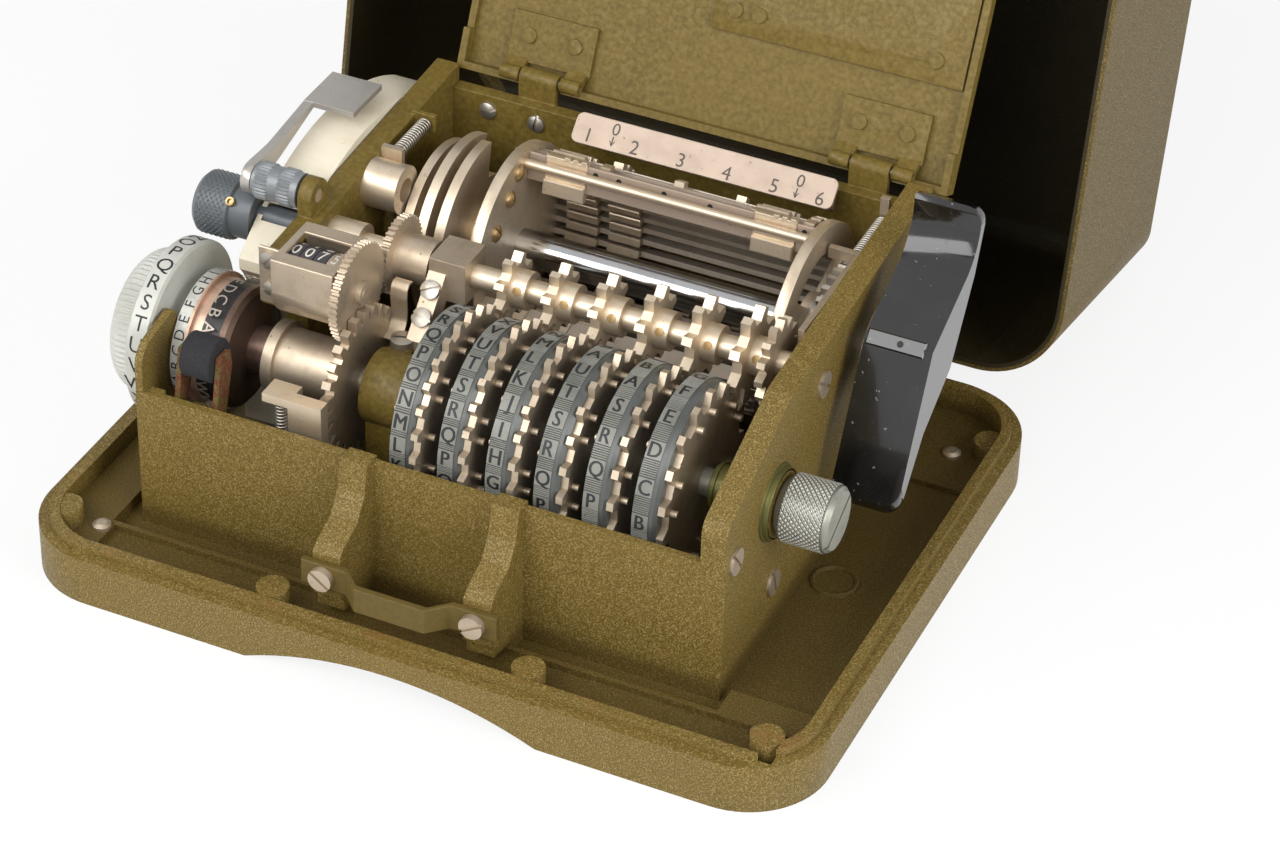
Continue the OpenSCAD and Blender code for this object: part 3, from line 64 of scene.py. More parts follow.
class Axis(Enum):
    """Lines along X that pieces turn about, as (y, z) in metres."""

    WHEEL = (-0.0215, 0.039)
    COUNTER = (-0.0182, 0.0584)
    FEED = (0.0008, 0.0562)
    DRUM = (0.032, 0.0435)
    PRESS = (-0.0009, 0.0665)

    def middle(self) -> Vector:
        """The line's point at x 0, in millimetres."""
        return Vector((0, *self.value)) / MM


class Up(Enum):
    """Which way the top of a letter on a rim points."""

    ROUND = 0
    LEFT = 1
    RIGHT = 2


class Value:
    """A shader socket; sums and products of values add Math nodes."""

    def __init__(self, graph: "Graph", socket: bpy.types.NodeSocket) -> None:
        """Keeps the socket and the graph that it belongs to."""
        self.graph, self.socket = graph, socket

    def math(self, operation: str, other: Number = 0.0, flip: bool = False) -> "Value":
        """One Math node on this value.

        Args:
            operation: the Math node's operation.
            other: the second number or value.
            flip: puts the other value first.
        Returns:
            The result as a value.
        """
        pair = (other, self) if flip else (self, other)
        return self.graph.node("Math", {"operation": operation}, {0: pair[0], 1: pair[1]})

    def __add__(self, other: Number) -> "Value":
        """self + other."""
        return self.math("ADD", other)

    def __radd__(self, other: Number) -> "Value":
        """other + self."""
        return self.math("ADD", other, True)

    def __sub__(self, other: Number) -> "Value":
        """self - other."""
        return self.math("SUBTRACT", other)

    def __rsub__(self, other: Number) -> "Value":
        """other - self."""
        return self.math("SUBTRACT", other, True)

    def __mul__(self, other: Number) -> "Value":
        """self * other."""
        return self.math("MULTIPLY", other)

    def __rmul__(self, other: Number) -> "Value":
        """other * self."""
        return self.math("MULTIPLY", other, True)

    def rise(self, low: float, high: float) -> "Value":
        """0 below low, 1 above high, smooth between.

        Args:
            low: where the rise starts.
            high: where the rise ends.
        Returns:
            The smooth step.
        """
        return self.graph.node("MapRange", {"interpolation_type": "SMOOTHSTEP"},
                               {"Value": self, "From Min": low, "From Max": high})

    def below(self, limit: float, soft: float) -> "Value":
        """1 under a limit, 0 over it, smooth within soft of it."""
        return 1.0 - self.rise(limit - soft, limit + soft)

    def over(self, limit: float) -> "Value":
        """What the value has past a limit, and 0 below it."""
        return (self - limit).math("MAXIMUM", 0.0)

    def hypot(self, other: "Value") -> "Value":
        """Root of the sum of both values' squares."""
        return (self * self + other * other).math("SQRT")


class Graph:
    """The nodes of one material or of the surround."""

    def __init__(self, owner: Union[bpy.types.Material, bpy.types.World],
                 shader: str = "Principled BSDF") -> None:
        """Starts with the owner's shader and Object coordinates.

        Args:
            owner: the material or world.
            shader: the name of its first shader node.
        """
        owner.use_nodes = True
        self.material = owner
        self.tree = owner.node_tree
        self.shader = self.tree.nodes[shader]
        self.place = self.node("TexCoord", {}, {}, "Object")

    def node(self, kind: str, settings: Dict, sockets: Dict, out: Union[int, str] = 0) -> Value:
        """Adds one node.

        Args:
            kind: the node's type without its ShaderNode prefix.
            settings: attributes, set first.
            sockets: numbers, colours or values for its inputs.
            out: the output to return.
        Returns:
            That output as a value.
        """
        made = self.tree.nodes.new("ShaderNode" + kind)
        for key, what in settings.items():
            setattr(made, key, what)
        for key, what in sockets.items():
            if isinstance(what, Value):
                self.tree.links.new(what.socket, made.inputs[key])
            else:
                made.inputs[key].default_value = what
        return Value(self, made.outputs[out])

    def noise(self, size: float, detail: float = 3.0, rough: float = 0.55,
              stretch: Sequence[float] = (1, 1, 1), shift: float = 0.0) -> Value:
        """Cloudy noise on Object coordinates.

        Args:
            size: width of one cloud in millimetres.
            detail: octaves.
            rough: weight of the finer octaves.
            stretch: scale along each axis.
            shift: distance that moves the pattern, so that two noises differ.
        Returns:
            A value of about 0.25 to 0.75.
        """
        spot = self.node("Mapping", {}, {"Vector": self.place, "Location": (shift, shift, shift),
                                         "Scale": tuple(stretch)})
        return self.node("TexNoise", {}, {"Vector": spot, "Scale": 1000.0 / size, "Detail": detail,
                                          "Roughness": rough}, "Fac")

    def axis(self, name: str) -> Value:
        """Object coordinate X, Y or Z in metres."""
        return self.node("SeparateXYZ", {}, {0: self.place}, name)

    def far(self, line: Axis) -> Value:
        """Distance from a line along X."""
        return (self.axis("Y") - line.value[0]).hypot(self.axis("Z") - line.value[1])

    def reach(self, x: Value, y: Value, half: Sequence[float], corner: float) -> Value:
        """Distance from the core of a rounded rectangle, which ends where its corners' middles are.

        Args:
            x: place along the first side.
            y: place along the second side.
            half: half the rectangle's sides.
            corner: radius of its corners, which is also the distance at its outline.
        Returns:
            The distance, 0 inside the core.
        """
        return x.math("ABSOLUTE").over(half[0] - corner).hypot(y.math("ABSOLUTE").over(half[1] - corner))

    def rays(self) -> Tuple[Value, Value]:
        """Tells the rays that see things from those that light them.

        Returns:
            1 for rays from the camera, mirrors and glass; and 1 for mirrors alone.
        """
        names = ("Is Camera Ray", "Is Glossy Ray", "Is Transmission Ray")
        path = [self.node("LightPath", {}, {}, name) for name in names]
        return (path[0] + path[1] + path[2]).rise(0.0, 1.0), path[1]

    def blend(self, share: Number, first: Union[Colour, Value], second: Union[Colour, Value]) -> Value:
        """A colour mix: first at share 0, second at share 1.

        Args:
            share: the mix's factor.
            first: colour at 0.
            second: colour at 1.
        Returns:
            The mixed colour.
        """
        four = [c if isinstance(c, Value) else tuple(c) + (1.0,) for c in (first, second)]
        return self.node("Mix", {"data_type": "RGBA"}, {0: share, 6: four[0], 7: four[1]}, 2)

    def bump(self, height: Value, depth: float, strength: float = 1.0) -> None:
        """Feeds a Bump node of that depth in millimetres to the shader's normal."""
        made = self.node("Bump", {}, {"Height": height, "Distance": depth * MM, "Strength": strength})
        self.tree.links.new(made.socket, self.shader.inputs["Normal"])

    def feed(self, **sockets: Union[Number, Colour]) -> None:
        """Sets the shader's sockets; a name's underscores stand for spaces.

        Args:
            sockets: numbers, colours or values.
        """
        for key, what in sockets.items():
            put = self.shader.inputs[key.replace("_", " ")]
            if isinstance(what, Value):
                self.tree.links.new(what.socket, put)
            else:
                put.default_value = tuple(what) + (1.0,) if isinstance(what, tuple) else what


def tint(red: int, green: int, blue: int) -> Colour:
    """A display colour of 0 to 255 as linear light: the usual piecewise power curve.

    Args:
        red: red of 255.
        green: green of 255.
        blue: blue of 255.
    Returns:
        Linear red, green and blue.
    """
    part = np.array((red, green, blue)) / 255.0
    line = np.where(part <= 0.04045, part / 12.92, ((part + 0.055) / 1.055) ** 2.4)
    return tuple(float(c) for c in line)


def scaled(colour: Colour, share: float) -> Colour:
    """A colour made darker or lighter."""
    return tuple(c * share for c in colour)


@dataclass(frozen=True)
class Finish:
    """A finish: a name, its main colour, roughness and metal share."""

    name: str
    colour: Colour
    rough: float = 0.5
    metal: float = 0.0

    def tone(self, g: Graph, outside: Value) -> Value:
        """The finish's last change of colour, here none."""
        return outside

    def paint(self, g: Graph) -> None:
        """Wires the nodes; each kind of finish has its own way."""
        raise NotImplementedError(self.name)

    def material(self) -> bpy.types.Material:
        """The finish's material, made once."""
        known = bpy.data.materials.get(self.name)
        if known:
            return known
        g = Graph(bpy.data.materials.new(self.name))
        self.paint(g)
        return g.material


@dataclass(frozen=True)
class WrinklePaint(Finish):
    """Stoved olive paint: wrinkled grain with painted glints on its crests, cloudy tone, and bare brown spots
    where hands and floors rub it.
    """

    deep: Colour = (0.05, 0.04, 0.01)
    grain: float = 0.9
    depth: float = 0.12
    glint_share: float = 0.5
    rim: float = -1.0
    # colour of the painted glints on the grain's crests
    glint_colour: Colour = tint(186, 166, 114)
    chipped: Colour = tint(134, 96, 54)
    scuffed: Colour = tint(150, 128, 92)

    def paint(self, g: Graph) -> None:
        """A fine grain in colour and bump with painted highlights on its crests, slow clouds, and worn spots
        near the rim.

        Args:
            g: the material's nodes.
        """
        fine, cloud = g.noise(self.grain, 2.0), g.noise(34, 4, shift=0.7)
        crest = fine.rise(0.5, 0.68)
        tone = g.blend(fine.rise(0.32, 0.5), self.deep, self.colour)
        # painted highlight: the grain's crests lightened as glints
        tone = g.blend(crest * self.glint_share, tone, self.glint_colour)
        tone = g.blend(cloud.rise(0.42, 0.75) * 0.25, tone, scaled(self.colour, 1.25))
        rough = self.rough + 0.14 * (1.0 - crest)
        if self.rim > 0:
            near = 1.0 - (g.axis("Z") - self.rim).math("ABSOLUTE").rise(0.4 * MM, 1.4 * MM)
            chip = near * g.noise(11, 5, 0.7, shift=1.3).rise(0.55, 0.63)
            tone = g.blend(chip * 0.4, tone, self.chipped)
            scuff = g.noise(17, 6, 0.75, shift=2.1).rise(0.66, 0.7)
            tone = g.blend(scuff * 0.35, tone, self.scuffed)
        g.feed(Base_Color=self.tone(g, tone), Roughness=rough, Specular_IOR_Level=0.3)
        g.bump(fine, self.depth, 0.9)


@dataclass(frozen=True)
class CasePaint(WrinklePaint):
    """The case's paint, with painted shade that darkens it low down inside the tray."""

    floor: Tuple[float, float] = (7.5 * MM, 12.5 * MM)
    half: Tuple[float, float] = (89 * MM, 70 * MM)
    corner: float = 18 * MM
    skin: float = 2 * MM
    # colour of the painted shade inside the tray; Enamel's field of this name is handling grime
    grime_and_shade: Colour = tint(58, 44, 14)
    share: float = 0.62

    def tone(self, g: Graph, outside: Value) -> Value:
        """Paints shade: darkens what lies below the rim and inside the tray's outer skin, more with depth.

        Args:
            g: the material's nodes.
            outside: the paint's colour.
        Returns:
            The colour with painted shade.
        """
        reach = g.reach(g.axis("X"), g.axis("Y"), self.half, self.corner)
        inside = reach.below(self.corner - self.skin, 0.2 * MM)
        # painted shade: inside the tray the colour darkens towards the floor
        return g.blend(inside * (1.0 - g.axis("Z").rise(*self.floor)) * self.share, outside, self.grime_and_shade)


@dataclass(frozen=True)
class CoverPaint(WrinklePaint):
    """The cover's paint, with painted shade inside."""

    # near-black colour of the painted shade inside the cover
    inside_shade: Colour = (0.02, 0.015, 0.005)
    share: float = 0.9
    hinge: Tuple[float, float] = (72.5 * MM, 11.4 * MM)
    opening: float = math.radians(101.5)
    half: Tuple[float, float] = (89 * MM, 70 * MM)
    height: float = 83 * MM
    corner: float = 18 * MM
    edge: float = 8 * MM
    skin: float = 0.9 * MM

    def tone(self, g: Graph, outside: Value) -> Value:
        """Swings each point back about the hinge and tells whether it lies inside the shut cover's walls.

        The distance from a rounded rectangle's core tells the walls; with the height it makes a second one,
        round the top's edges.

        Args:
            g: the material's nodes.
            outside: the paint's colour.
        Returns:
            The colour with the painted shade blended in.
        """
        c, s = math.cos(self.opening), math.sin(self.opening)
        y, z = g.axis("Y") - self.hinge[0], g.axis("Z") - self.hinge[1]
        shut_y, shut_z = y * c - z * s + self.hinge[0], z * c + y * s + self.hinge[1]
        side = g.reach(g.axis("X"), shut_y, self.half, self.corner).over(self.corner - self.edge)
        top = shut_z.over(self.height - self.edge)
        inside = side.hypot(top).below(self.edge - self.skin, 0.1 * MM)
        # painted shade: the inside of the shut cover's walls and top darkened
        return g.blend(inside * self.share, outside, self.inside_shade)


@dataclass(frozen=True)
class PlatedMetal(Finish):
    """Plated or bare metal: cloudy tarnish, hairline rubbing and dark specks."""

    stain: Colour = (0.2, 0.15, 0.1)
    stained: float = 0.5
    lines: float = 0.12

    def paint(self, g: Graph) -> None:
        """Tarnish clouds mix towards the stain; hairlines vary the roughness and a faint bump.

        Args:
            g: the material's nodes.
        """
        cloud, hair = g.noise(7, 5, 0.6), g.noise(0.5, 2, stretch=(0.12, 1, 1), shift=0.4)
        speck = g.noise(0.9, 2, shift=0.9).rise(0.68, 0.74)
        tone = g.blend(cloud.rise(0.42, 0.78) * self.stained, self.colour, self.stain)
        tone = g.blend(speck * 0.4, tone, scaled(self.stain, 0.25))
        g.feed(Base_Color=tone, Metallic=self.metal,
               Roughness=self.rough + 0.22 * (cloud - 0.5) + self.lines * (hair - 0.5) + 0.3 * speck)
        g.bump(0.6 * hair + 0.4 * cloud, 0.003, 0.3)


@dataclass(frozen=True)
class Enamel(Finish):
    """Smooth paint or moulding: soft clouds of handling grime, fine scratches and a few specks."""

    grime_and_shade: Colour = (0.2, 0.18, 0.15)
    dirty: float = 0.3
    gloss: float = 0.0
    specks: Colour = (0.1, 0.1, 0.1)

    def paint(self, g: Graph) -> None:
        """Grime by slow noise, scratches by a stretched noise, specks by the peaks of a fine one.

        Args:
            g: the material's nodes.
        """
        cloud = g.noise(9, 5, 0.6)
        scratch = g.noise(2.2, 3, 0.7, stretch=(1, 0.16, 0.3), shift=0.6).rise(0.62, 0.7)
        speck = g.noise(1.3, 2, shift=1.1).rise(0.71, 0.75)
        tone = g.blend(cloud.rise(0.4, 0.75) * self.dirty, self.colour, self.grime_and_shade)
        tone = g.blend(speck * 0.55, tone, self.specks)
        rough = self.rough + 0.16 * (cloud - 0.5) + 0.18 * scratch + 0.3 * speck
        g.feed(Base_Color=self.tone(g, tone), Roughness=rough, Metallic=self.metal,
               Coat_Weight=self.gloss, Coat_Roughness=0.06)
        g.bump(cloud - 0.5 * scratch, 0.02, 0.35)


@dataclass(frozen=True)
class RimPaint(Enamel):
    """Paint or metal round the key axle, dark in its grooves."""

    radius: float = 20.74 * MM
    groove: Colour = tint(34, 38, 38)

    def tone(self, g: Graph, outside: Value) -> Value:
        """Points nearer the axis than the grooves' radius turn dark.

        Args:
            g: the material's nodes.
            outside: the finish's colour.
        Returns:
            The colour with dark grooves.
        """
        deep = 1.0 - g.far(Axis.WHEEL).rise(self.radius, self.radius + 0.07 * MM)
        return g.blend(deep * 0.8, outside, self.groove)


@dataclass(frozen=True)
class BandedMetal(Finish):
    """Metal whose plating changes at places along X: each band starts at its x in metres."""

    bands: Tuple[Tuple[float, Colour, float], ...] = ()

    def paint(self, g: Graph) -> None:
        """The colour, roughness and metal share step from band to band with a slightly ragged edge.

        Args:
            g: the material's nodes.
        """
        cloud = g.noise(4, 5, 0.65)
        worn = cloud.rise(0.4, 0.7)
        along = g.axis("X") + 0.4 * MM * (g.noise(0.8, 2) - 0.5)
        tone = g.blend(worn * 0.5, self.colour, scaled(self.colour, 0.4))
        bare: Number = self.metal
        for start, colour, metal in self.bands:
            on = along.rise(start - 0.05 * MM, start + 0.05 * MM)
            tone = g.blend(on, tone, g.blend(worn * 0.45, colour, scaled(colour, 0.45)))
            bare = bare + on * (metal - bare)
        g.feed(Base_Color=tone, Metallic=bare, Roughness=self.rough + 0.3 * (cloud - 0.5))
        g.bump(cloud, 0.02, 0.4)


@dataclass(frozen=True)
class RoundShaft(Finish):
    """A polished shaft and, farther from its axis, a satin rod of another tone."""

    satin: Colour = (0.5, 0.45, 0.4)
    middle: Axis = Axis.DRUM
    reach: float = 12 * MM

    def paint(self, g: Graph) -> None:
        """The distance from the axis picks polish or satin; hairlines round the shaft vary the roughness.

        Args:
            g: the material's nodes.
        """
        off = g.far(self.middle).rise(self.reach, self.reach + 1 * MM)
        hair, cloud = g.noise(0.6, 3, stretch=(1, 0.1, 0.1)), g.noise(6, 4, shift=0.4)
        tone = g.blend(cloud.rise(0.4, 0.8) * 0.35, self.colour, scaled(self.colour, 0.6))
        g.feed(Base_Color=g.blend(off, tone, self.satin), Metallic=self.metal - 0.3 * off,
               Roughness=self.rough + 0.22 * off + 0.12 * (hair - 0.5) + 0.1 * (cloud - 0.5))


@dataclass(frozen=True)
class RustedSheet(Finish):
    """Painted sheet eaten by rust."""

    rust: Colour = (0.2, 0.05, 0.015)
    scale: Colour = tint(70, 36, 22)

    def paint(self, g: Graph) -> None:
        """Paint and rust by a rough noise, the rust blistered.

        Args:
            g: the material's nodes.
        """
        eaten = g.noise(2.4, 6, 0.7).rise(0.42, 0.56)
        grit = g.noise(0.35, 3)
        tone = g.blend(eaten, self.colour, g.blend(grit.rise(0.3, 0.7), self.rust, self.scale))
        g.feed(Base_Color=tone, Roughness=0.5 + 0.4 * eaten, Metallic=self.metal)
        g.bump(grit * eaten, 0.15, 0.8)


@dataclass(frozen=True)
class FibreFelt(Finish):
    """Pressed felt or paper: matt fibres."""

    fibre: float = 0.25

    def paint(self, g: Graph) -> None:
        """Fibres as two stretched noises in colour and bump.

        Args:
            g: the material's nodes.
        """
        along = g.noise(self.fibre, 3, stretch=(0.3, 1, 1))
        hair = 0.5 * along + 0.5 * g.noise(self.fibre, 3, stretch=(1, 0.4, 1), shift=0.5)
        g.feed(Base_Color=g.blend(hair.rise(0.3, 0.7), scaled(self.colour, 0.5), self.colour),
               Roughness=0.85 + 0.15 * hair)
        g.bump(hair, 0.12, 0.8)


# case paint: painted shade low inside the tray and painted glints on the grain's crests
OLIVE = CasePaint("olive_wrinkle_paint", tint(112, 92, 39), 0.34, 0.0, tint(92, 75, 30), 0.34, 0.2,
                  0.5, 13.4 * MM)
OLIVE_SMOOTH = WrinklePaint("olive_smooth_paint", tint(110, 92, 40), 0.36, 0.0, tint(98, 81, 34), 1.1,
                            0.02, 0.1)
OLIVE_STRAP = WrinklePaint("olive_strap_paint", tint(94, 78, 34), 0.46, 0.0, tint(88, 72, 31), 1.4, 0.01, 0.0)
# cover paint: painted shade inside and painted glints on the grain's crests
OLIVE_COVER = CoverPaint("olive_cover_paint", tint(90, 74, 32), 0.44, 0.0, tint(78, 64, 27), 0.36, 0.16, 0.3)
NICKEL = PlatedMetal("warm_nickel", tint(224, 208, 184), 0.42, 0.85, tint(170, 152, 130), 0.4)
NICKEL_MATT = PlatedMetal("matt_nickel", tint(178, 160, 144), 0.5, 0.6, tint(160, 142, 126), 0.4)
NICKEL_DULL = PlatedMetal("dull_nickel", tint(200, 184, 162), 0.46, 0.82, tint(136, 119, 99), 0.5)
STEEL = PlatedMetal("worked_steel", tint(188, 182, 172), 0.38, 0.85, tint(128, 118, 106), 0.45)
DARK_STEEL = PlatedMetal("oiled_dark_steel", tint(120, 110, 100), 0.4, 0.9, tint(46, 38, 32), 0.8)
BAR_STEEL = PlatedMetal("slide_bar_steel", tint(186, 174, 158), 0.4, 0.6, tint(140, 126, 110), 0.5)
PADDLE = PlatedMetal("lever_alloy", tint(184, 179, 173), 0.36, 0.6, tint(146, 143, 139), 0.4)
PATINA = PlatedMetal("green_brass", tint(104, 100, 52), 0.4, 0.5, tint(72, 74, 36), 0.6)
BRONZE = PlatedMetal("bronze", tint(186, 158, 112), 0.34, 0.8, tint(126, 98, 60), 0.5)
ALLOY = PlatedMetal("knurled_alloy", tint(152, 151, 140), 0.4, 0.6, tint(106, 106, 94), 0.5)
SHAFT = RoundShaft("polished_shaft", tint(182, 183, 185), 0.13, 1.0, tint(202, 184, 160))
WHEEL_GREY = Enamel("wheel_grey", tint(86, 88, 85), 0.4, 0.2, tint(60, 62, 60), 0.5, 0.1,
                    tint(140, 142, 138))
KNURL = RimPaint("knurled_grip", tint(188, 187, 177), 0.4, 0.5, tint(144, 143, 132), 0.4, 0.0,
                 tint(104, 103, 95), 7.08 * MM)
WHEEL_PAD = RimPaint("worn_letter_pads", tint(130, 130, 122), 0.45, 0.2, tint(96, 97, 91), 0.7, 0.0,
                     tint(66, 68, 66))
IVORY = Enamel("ivory_grey_moulding", tint(198, 198, 190), 0.4, 0.0, tint(164, 163, 150), 0.4, 0.1,
               tint(120, 116, 104))
CREAM = Enamel("cream_housing", tint(236, 227, 205), 0.42, 0.0, tint(212, 198, 166), 0.4, 0.1,
               tint(150, 130, 100))
GREY = Enamel("grey_lacquer", tint(134, 137, 139), 0.38, 0.2, tint(104, 107, 110), 0.4, 0.1,
              tint(176, 176, 174))
DARK_GREY = Enamel("dark_grey_lacquer", tint(92, 97, 101), 0.42, 0.0, tint(58, 61, 65), 0.45, 0.1,
                   tint(160, 160, 158))
BAKELITE = Enamel("black_moulding", tint(15, 14, 14), 0.16, 0.0, tint(34, 33, 32), 0.5, 0.6,
                  tint(150, 148, 145))
BLACK_DIGIT = Enamel("black_digit_wheel", tint(64, 60, 66), 0.4, 0.0, tint(80, 76, 80), 0.4, 0.1,
                     tint(100, 100, 100))
INK = Enamel("black_lettering", tint(26, 26, 28), 0.5, 0.0, tint(44, 44, 46), 0.5, 0.0, tint(70, 70, 70))
ENGRAVED = Enamel("engraved_numbers", tint(74, 62, 54), 0.5, 0.0, tint(98, 84, 74), 0.5, 0.0,
                  tint(120, 104, 92))
WHITE = Enamel("white_lettering", tint(226, 222, 212), 0.5, 0.0, tint(190, 184, 170), 0.4, 0.0,
               tint(150, 145, 135))
TYPE_FACE = Enamel("type_faces", tint(176, 165, 152), 0.42, 0.4, tint(120, 108, 98), 0.6, 0.0,
                   tint(70, 62, 56))
# painted shade: near-black finish for discs that stand for holes
HOLE_SHADE = Enamel("painted_hole_shade", tint(24, 20, 17), 0.6, 0.0, tint(40, 34, 28), 0.5, 0.0, tint(60, 52, 44))
RUST = RustedSheet("rusted_clip", tint(96, 82, 40))
FELT = FibreFelt("ink_felt", tint(44, 43, 46), fibre=0.35)
PAPER = FibreFelt("tape_paper", tint(232, 226, 208), fibre=0.5)

FINISHED: Dict[Finish, str] = {
    OLIVE: "tray front_wall right_plate",
    OLIVE_SMOOTH: "left_plate rear_wall axle_bracket inner_lid lid_fittings",
    OLIVE_STRAP: "carry_strap",
    OLIVE_COVER: "outer_cover",
    NICKEL: "bushes drum_left_disc drum_right_ring drum_cams feed_shaft feed_stars detent_pawl",
    NICKEL_MATT: "index_plate",
    NICKEL_DULL: "fasteners drum_stop_bracket bearing_block counter_case bar_lugs feed_gear counter_gear "
                 "type_sleeve detent_wheel " + " ".join(f"wheel_pins_{k}" for k in range(1, 7)),
    STEEL: "fixed_pins type_axle springs drum_gear",
    DARK_STEEL: "guide_arms",
    BAR_STEEL: "slide_bars",
    SHAFT: "drum_shaft",
    ALLOY: "key_axle",
    PADDLE: "press_lever",
    WHEEL_GREY: " ".join(f"key_wheel_{k}" for k in range(1, 7)),
    BAKELITE: "power_handle",
    IVORY: "setting_knob letter_disc",
    CREAM: "tape_housing",
    GREY: "press_roller",
    DARK_GREY: "tape_feed_knob",
    BLACK_DIGIT: "digit_wheels",
    RUST: "ink_holder",
    FELT: "ink_roller",
    PAPER: "paper_roll",
}

SOFT_EDGES: Dict[float, str] = {
    0.2: "index_plate drum_stop_bracket drum_left_disc drum_right_ring",
    0.25: "lid_fittings",
    0.3: "counter_case inner_lid",
    0.35: "carry_strap",
    0.4: "bearing_block rear_wall",
    0.5: "left_plate outer_cover press_lever axle_bracket",
    0.6: "front_wall tape_housing",
    0.7: "right_plate",
    0.8: "tray",
    1.3: "power_handle",
}


def grid_faces(rows: int, columns: int, wrap_rows: bool, wrap_columns: bool) -> np.ndarray:
    """Quads of a grid: corner (i, j) joins (i + 1, j), (i + 1, j + 1) and (i, j + 1), round the wrapped ways.

    Args:
        rows: points along the first way.
        columns: points along the second way.
        wrap_rows: joins the last row to the first.
        wrap_columns: joins the last column to the first.
    Returns:
        An array of four point numbers a row.
    """
    i, j = np.meshgrid(np.arange(rows - (not wrap_rows)), np.arange(columns - (not wrap_columns)),
                       indexing="ij")
    k, m = (i + 1) % rows, (j + 1) % columns
    return np.stack([i * columns + j, k * columns + j, k * columns + m, i * columns + m], -1).reshape(-1, 4)

def patch(points: np.ndarray, wrap_rows: bool = False, wrap_columns: bool = False) -> Patch:
    """A grid of points (rows, columns, 3) as points and quads."""
    rows, columns = points.shape[:2]
    return points.reshape(-1, 3), grid_faces(rows, columns, wrap_rows, wrap_columns)


def turned(profile: Profile, axis: Tuple[float, float], count: int,
           wave: Optional[Callable[[np.ndarray, np.ndarray, np.ndarray], np.ndarray]] = None) -> Patch:
    """A profile of (x, radius) turned about a line along X.

    The point at profile place k and angle a is (x, y0 - r sin a, z0 + r cos a), where r is the profile's
    radius, plus wave(x, radius, a) where one is given.

    Args:
        profile: (x, radius) pairs in metres.
        axis: (y0, z0) of the line.
        count: points round the turn.
        wave: radius to add.
    Returns:
        Points and quads.
    """
    x, r = (np.array(c)[:, None] for c in zip(*profile))
    a = np.linspace(0, 2 * math.pi, count, endpoint=False)[None, :]
    full = r + (wave(x, r, a) if wave else 0 * a)
    y, z = axis[0] - full * np.sin(a), axis[1] + full * np.cos(a)
    return patch(np.stack(np.broadcast_arrays(x + 0 * a, y, z), -1), wrap_columns=True)


def swept(path: np.ndarray, radius: float, sides: int = 10) -> Patch:
    """A round wire along a path, closed at its ends.

    Each ring is the path's point plus radius times (cos b side + sin b top), where top and side are square to
    the path's run; the first and last rings shrink to a point.

    Args:
        path: points (n, 3).
        radius: of the wire.
        sides: points round it.
    Returns:
        Points and quads.
    """
    run = np.gradient(path, axis=0)
    run /= np.linalg.norm(run, axis=1, keepdims=True)
    away = path.mean(0) - path + np.array([1e-4, 2e-4, 3e-4])
    side = np.cross(run, away)
    side /= np.linalg.norm(side, axis=1, keepdims=True)
    top = np.cross(run, side)
    b = np.linspace(0, 2 * math.pi, sides, endpoint=False)[None, :, None]
    ring = path[:, None] + radius * (np.cos(b) * side[:, None] + np.sin(b) * top[:, None])
    ends = [np.repeat(path[k][None, None], sides, 1) for k in (0, -1)]
    return patch(np.concatenate([ends[0], ring, ends[1]]), wrap_columns=True)


def square_to(out: Vector, turn: float) -> Tuple[np.ndarray, np.ndarray, np.ndarray]:
    """Two unit vectors square to a direction, the first one level, both then turned about it.

    Args:
        out: the direction.
        turn: in degrees.
    Returns:
        The first, the second and the unit direction.
    """
    away = out.normalized()
    level = (BACK if abs(away.z) > 0.9 else UP).cross(away).normalized()
    across = away.cross(level)
    c, s = math.cos(math.radians(turn)), math.sin(math.radians(turn))
    return np.array(level * c + across * s), np.array(across * c - level * s), np.array(away)


def spun(profile: Profile, spot: Sequence[float], out: Vector, count: int = 40) -> Patch:
    """A profile of (height, radius) turned about any line.

    The point at angle a is spot + height out + radius (cos a level + sin a across).

    Args:
        profile: heights and radii in millimetres.
        spot: the line's foot in millimetres.
        out: the line's direction.
        count: points round it.
    Returns:
        Points and quads.
    """
    h, r = (np.array(c)[:, None, None] * MM for c in zip(*profile))
    level, across, away = square_to(out, 0.0)
    a = np.linspace(0, 2 * math.pi, count, endpoint=False)[None, :, None]
    ring = np.cos(a) * level + np.sin(a) * across
    return patch(np.array(spot) * MM + h * away + r * ring, wrap_columns=True)


def slotted(spot: Sequence[float], out: Vector, radius: float, height: float, turn: float = 0.0,
            dome: float = 0.35) -> Patch:
    """A domed screw head with a slot.

    A grid point (u, v) lies at radius times (u sqrt(1 - v v), v); its height falls with the square of its
    distance from the middle by the dome's share, and drops between the slot's two walls, where rows are
    doubled. The first and last columns run down the head's side.

    Args:
        spot: middle of the head's seat in millimetres.
        out: the way it faces.
        radius: in millimetres.
        height: in millimetres.
        turn: of the slot, in degrees.
        dome: share of the height lost at the rim.
    Returns:
        Points and quads.
    """
    slot, deep, sunk, rows, columns = 0.14, 0.5, -0.08, 9, 13
    side = -np.cos(np.linspace(0, math.acos(slot), rows))
    v = np.concatenate([side, [-slot, slot], -side[::-1]])[:, None]
    cut = np.repeat([0, 1, 0], [rows, 2, rows])[:, None]
    x = np.linspace(-1, 1, columns)[None, :] * np.sqrt(1 - v ** 2)
    top = height * (1 - dome * (x ** 2 + v ** 2) - deep * cut)
    h = np.pad(top, ((0, 0), (1, 1)), constant_values=sunk)
    x = np.pad(x, ((0, 0), (1, 1)), mode="edge")
    level, across, away = square_to(out, turn)
    flat = radius * (x[..., None] * level + (v + 0 * x)[..., None] * across)
    return patch((np.array(spot) + flat + h[..., None] * away) * MM)


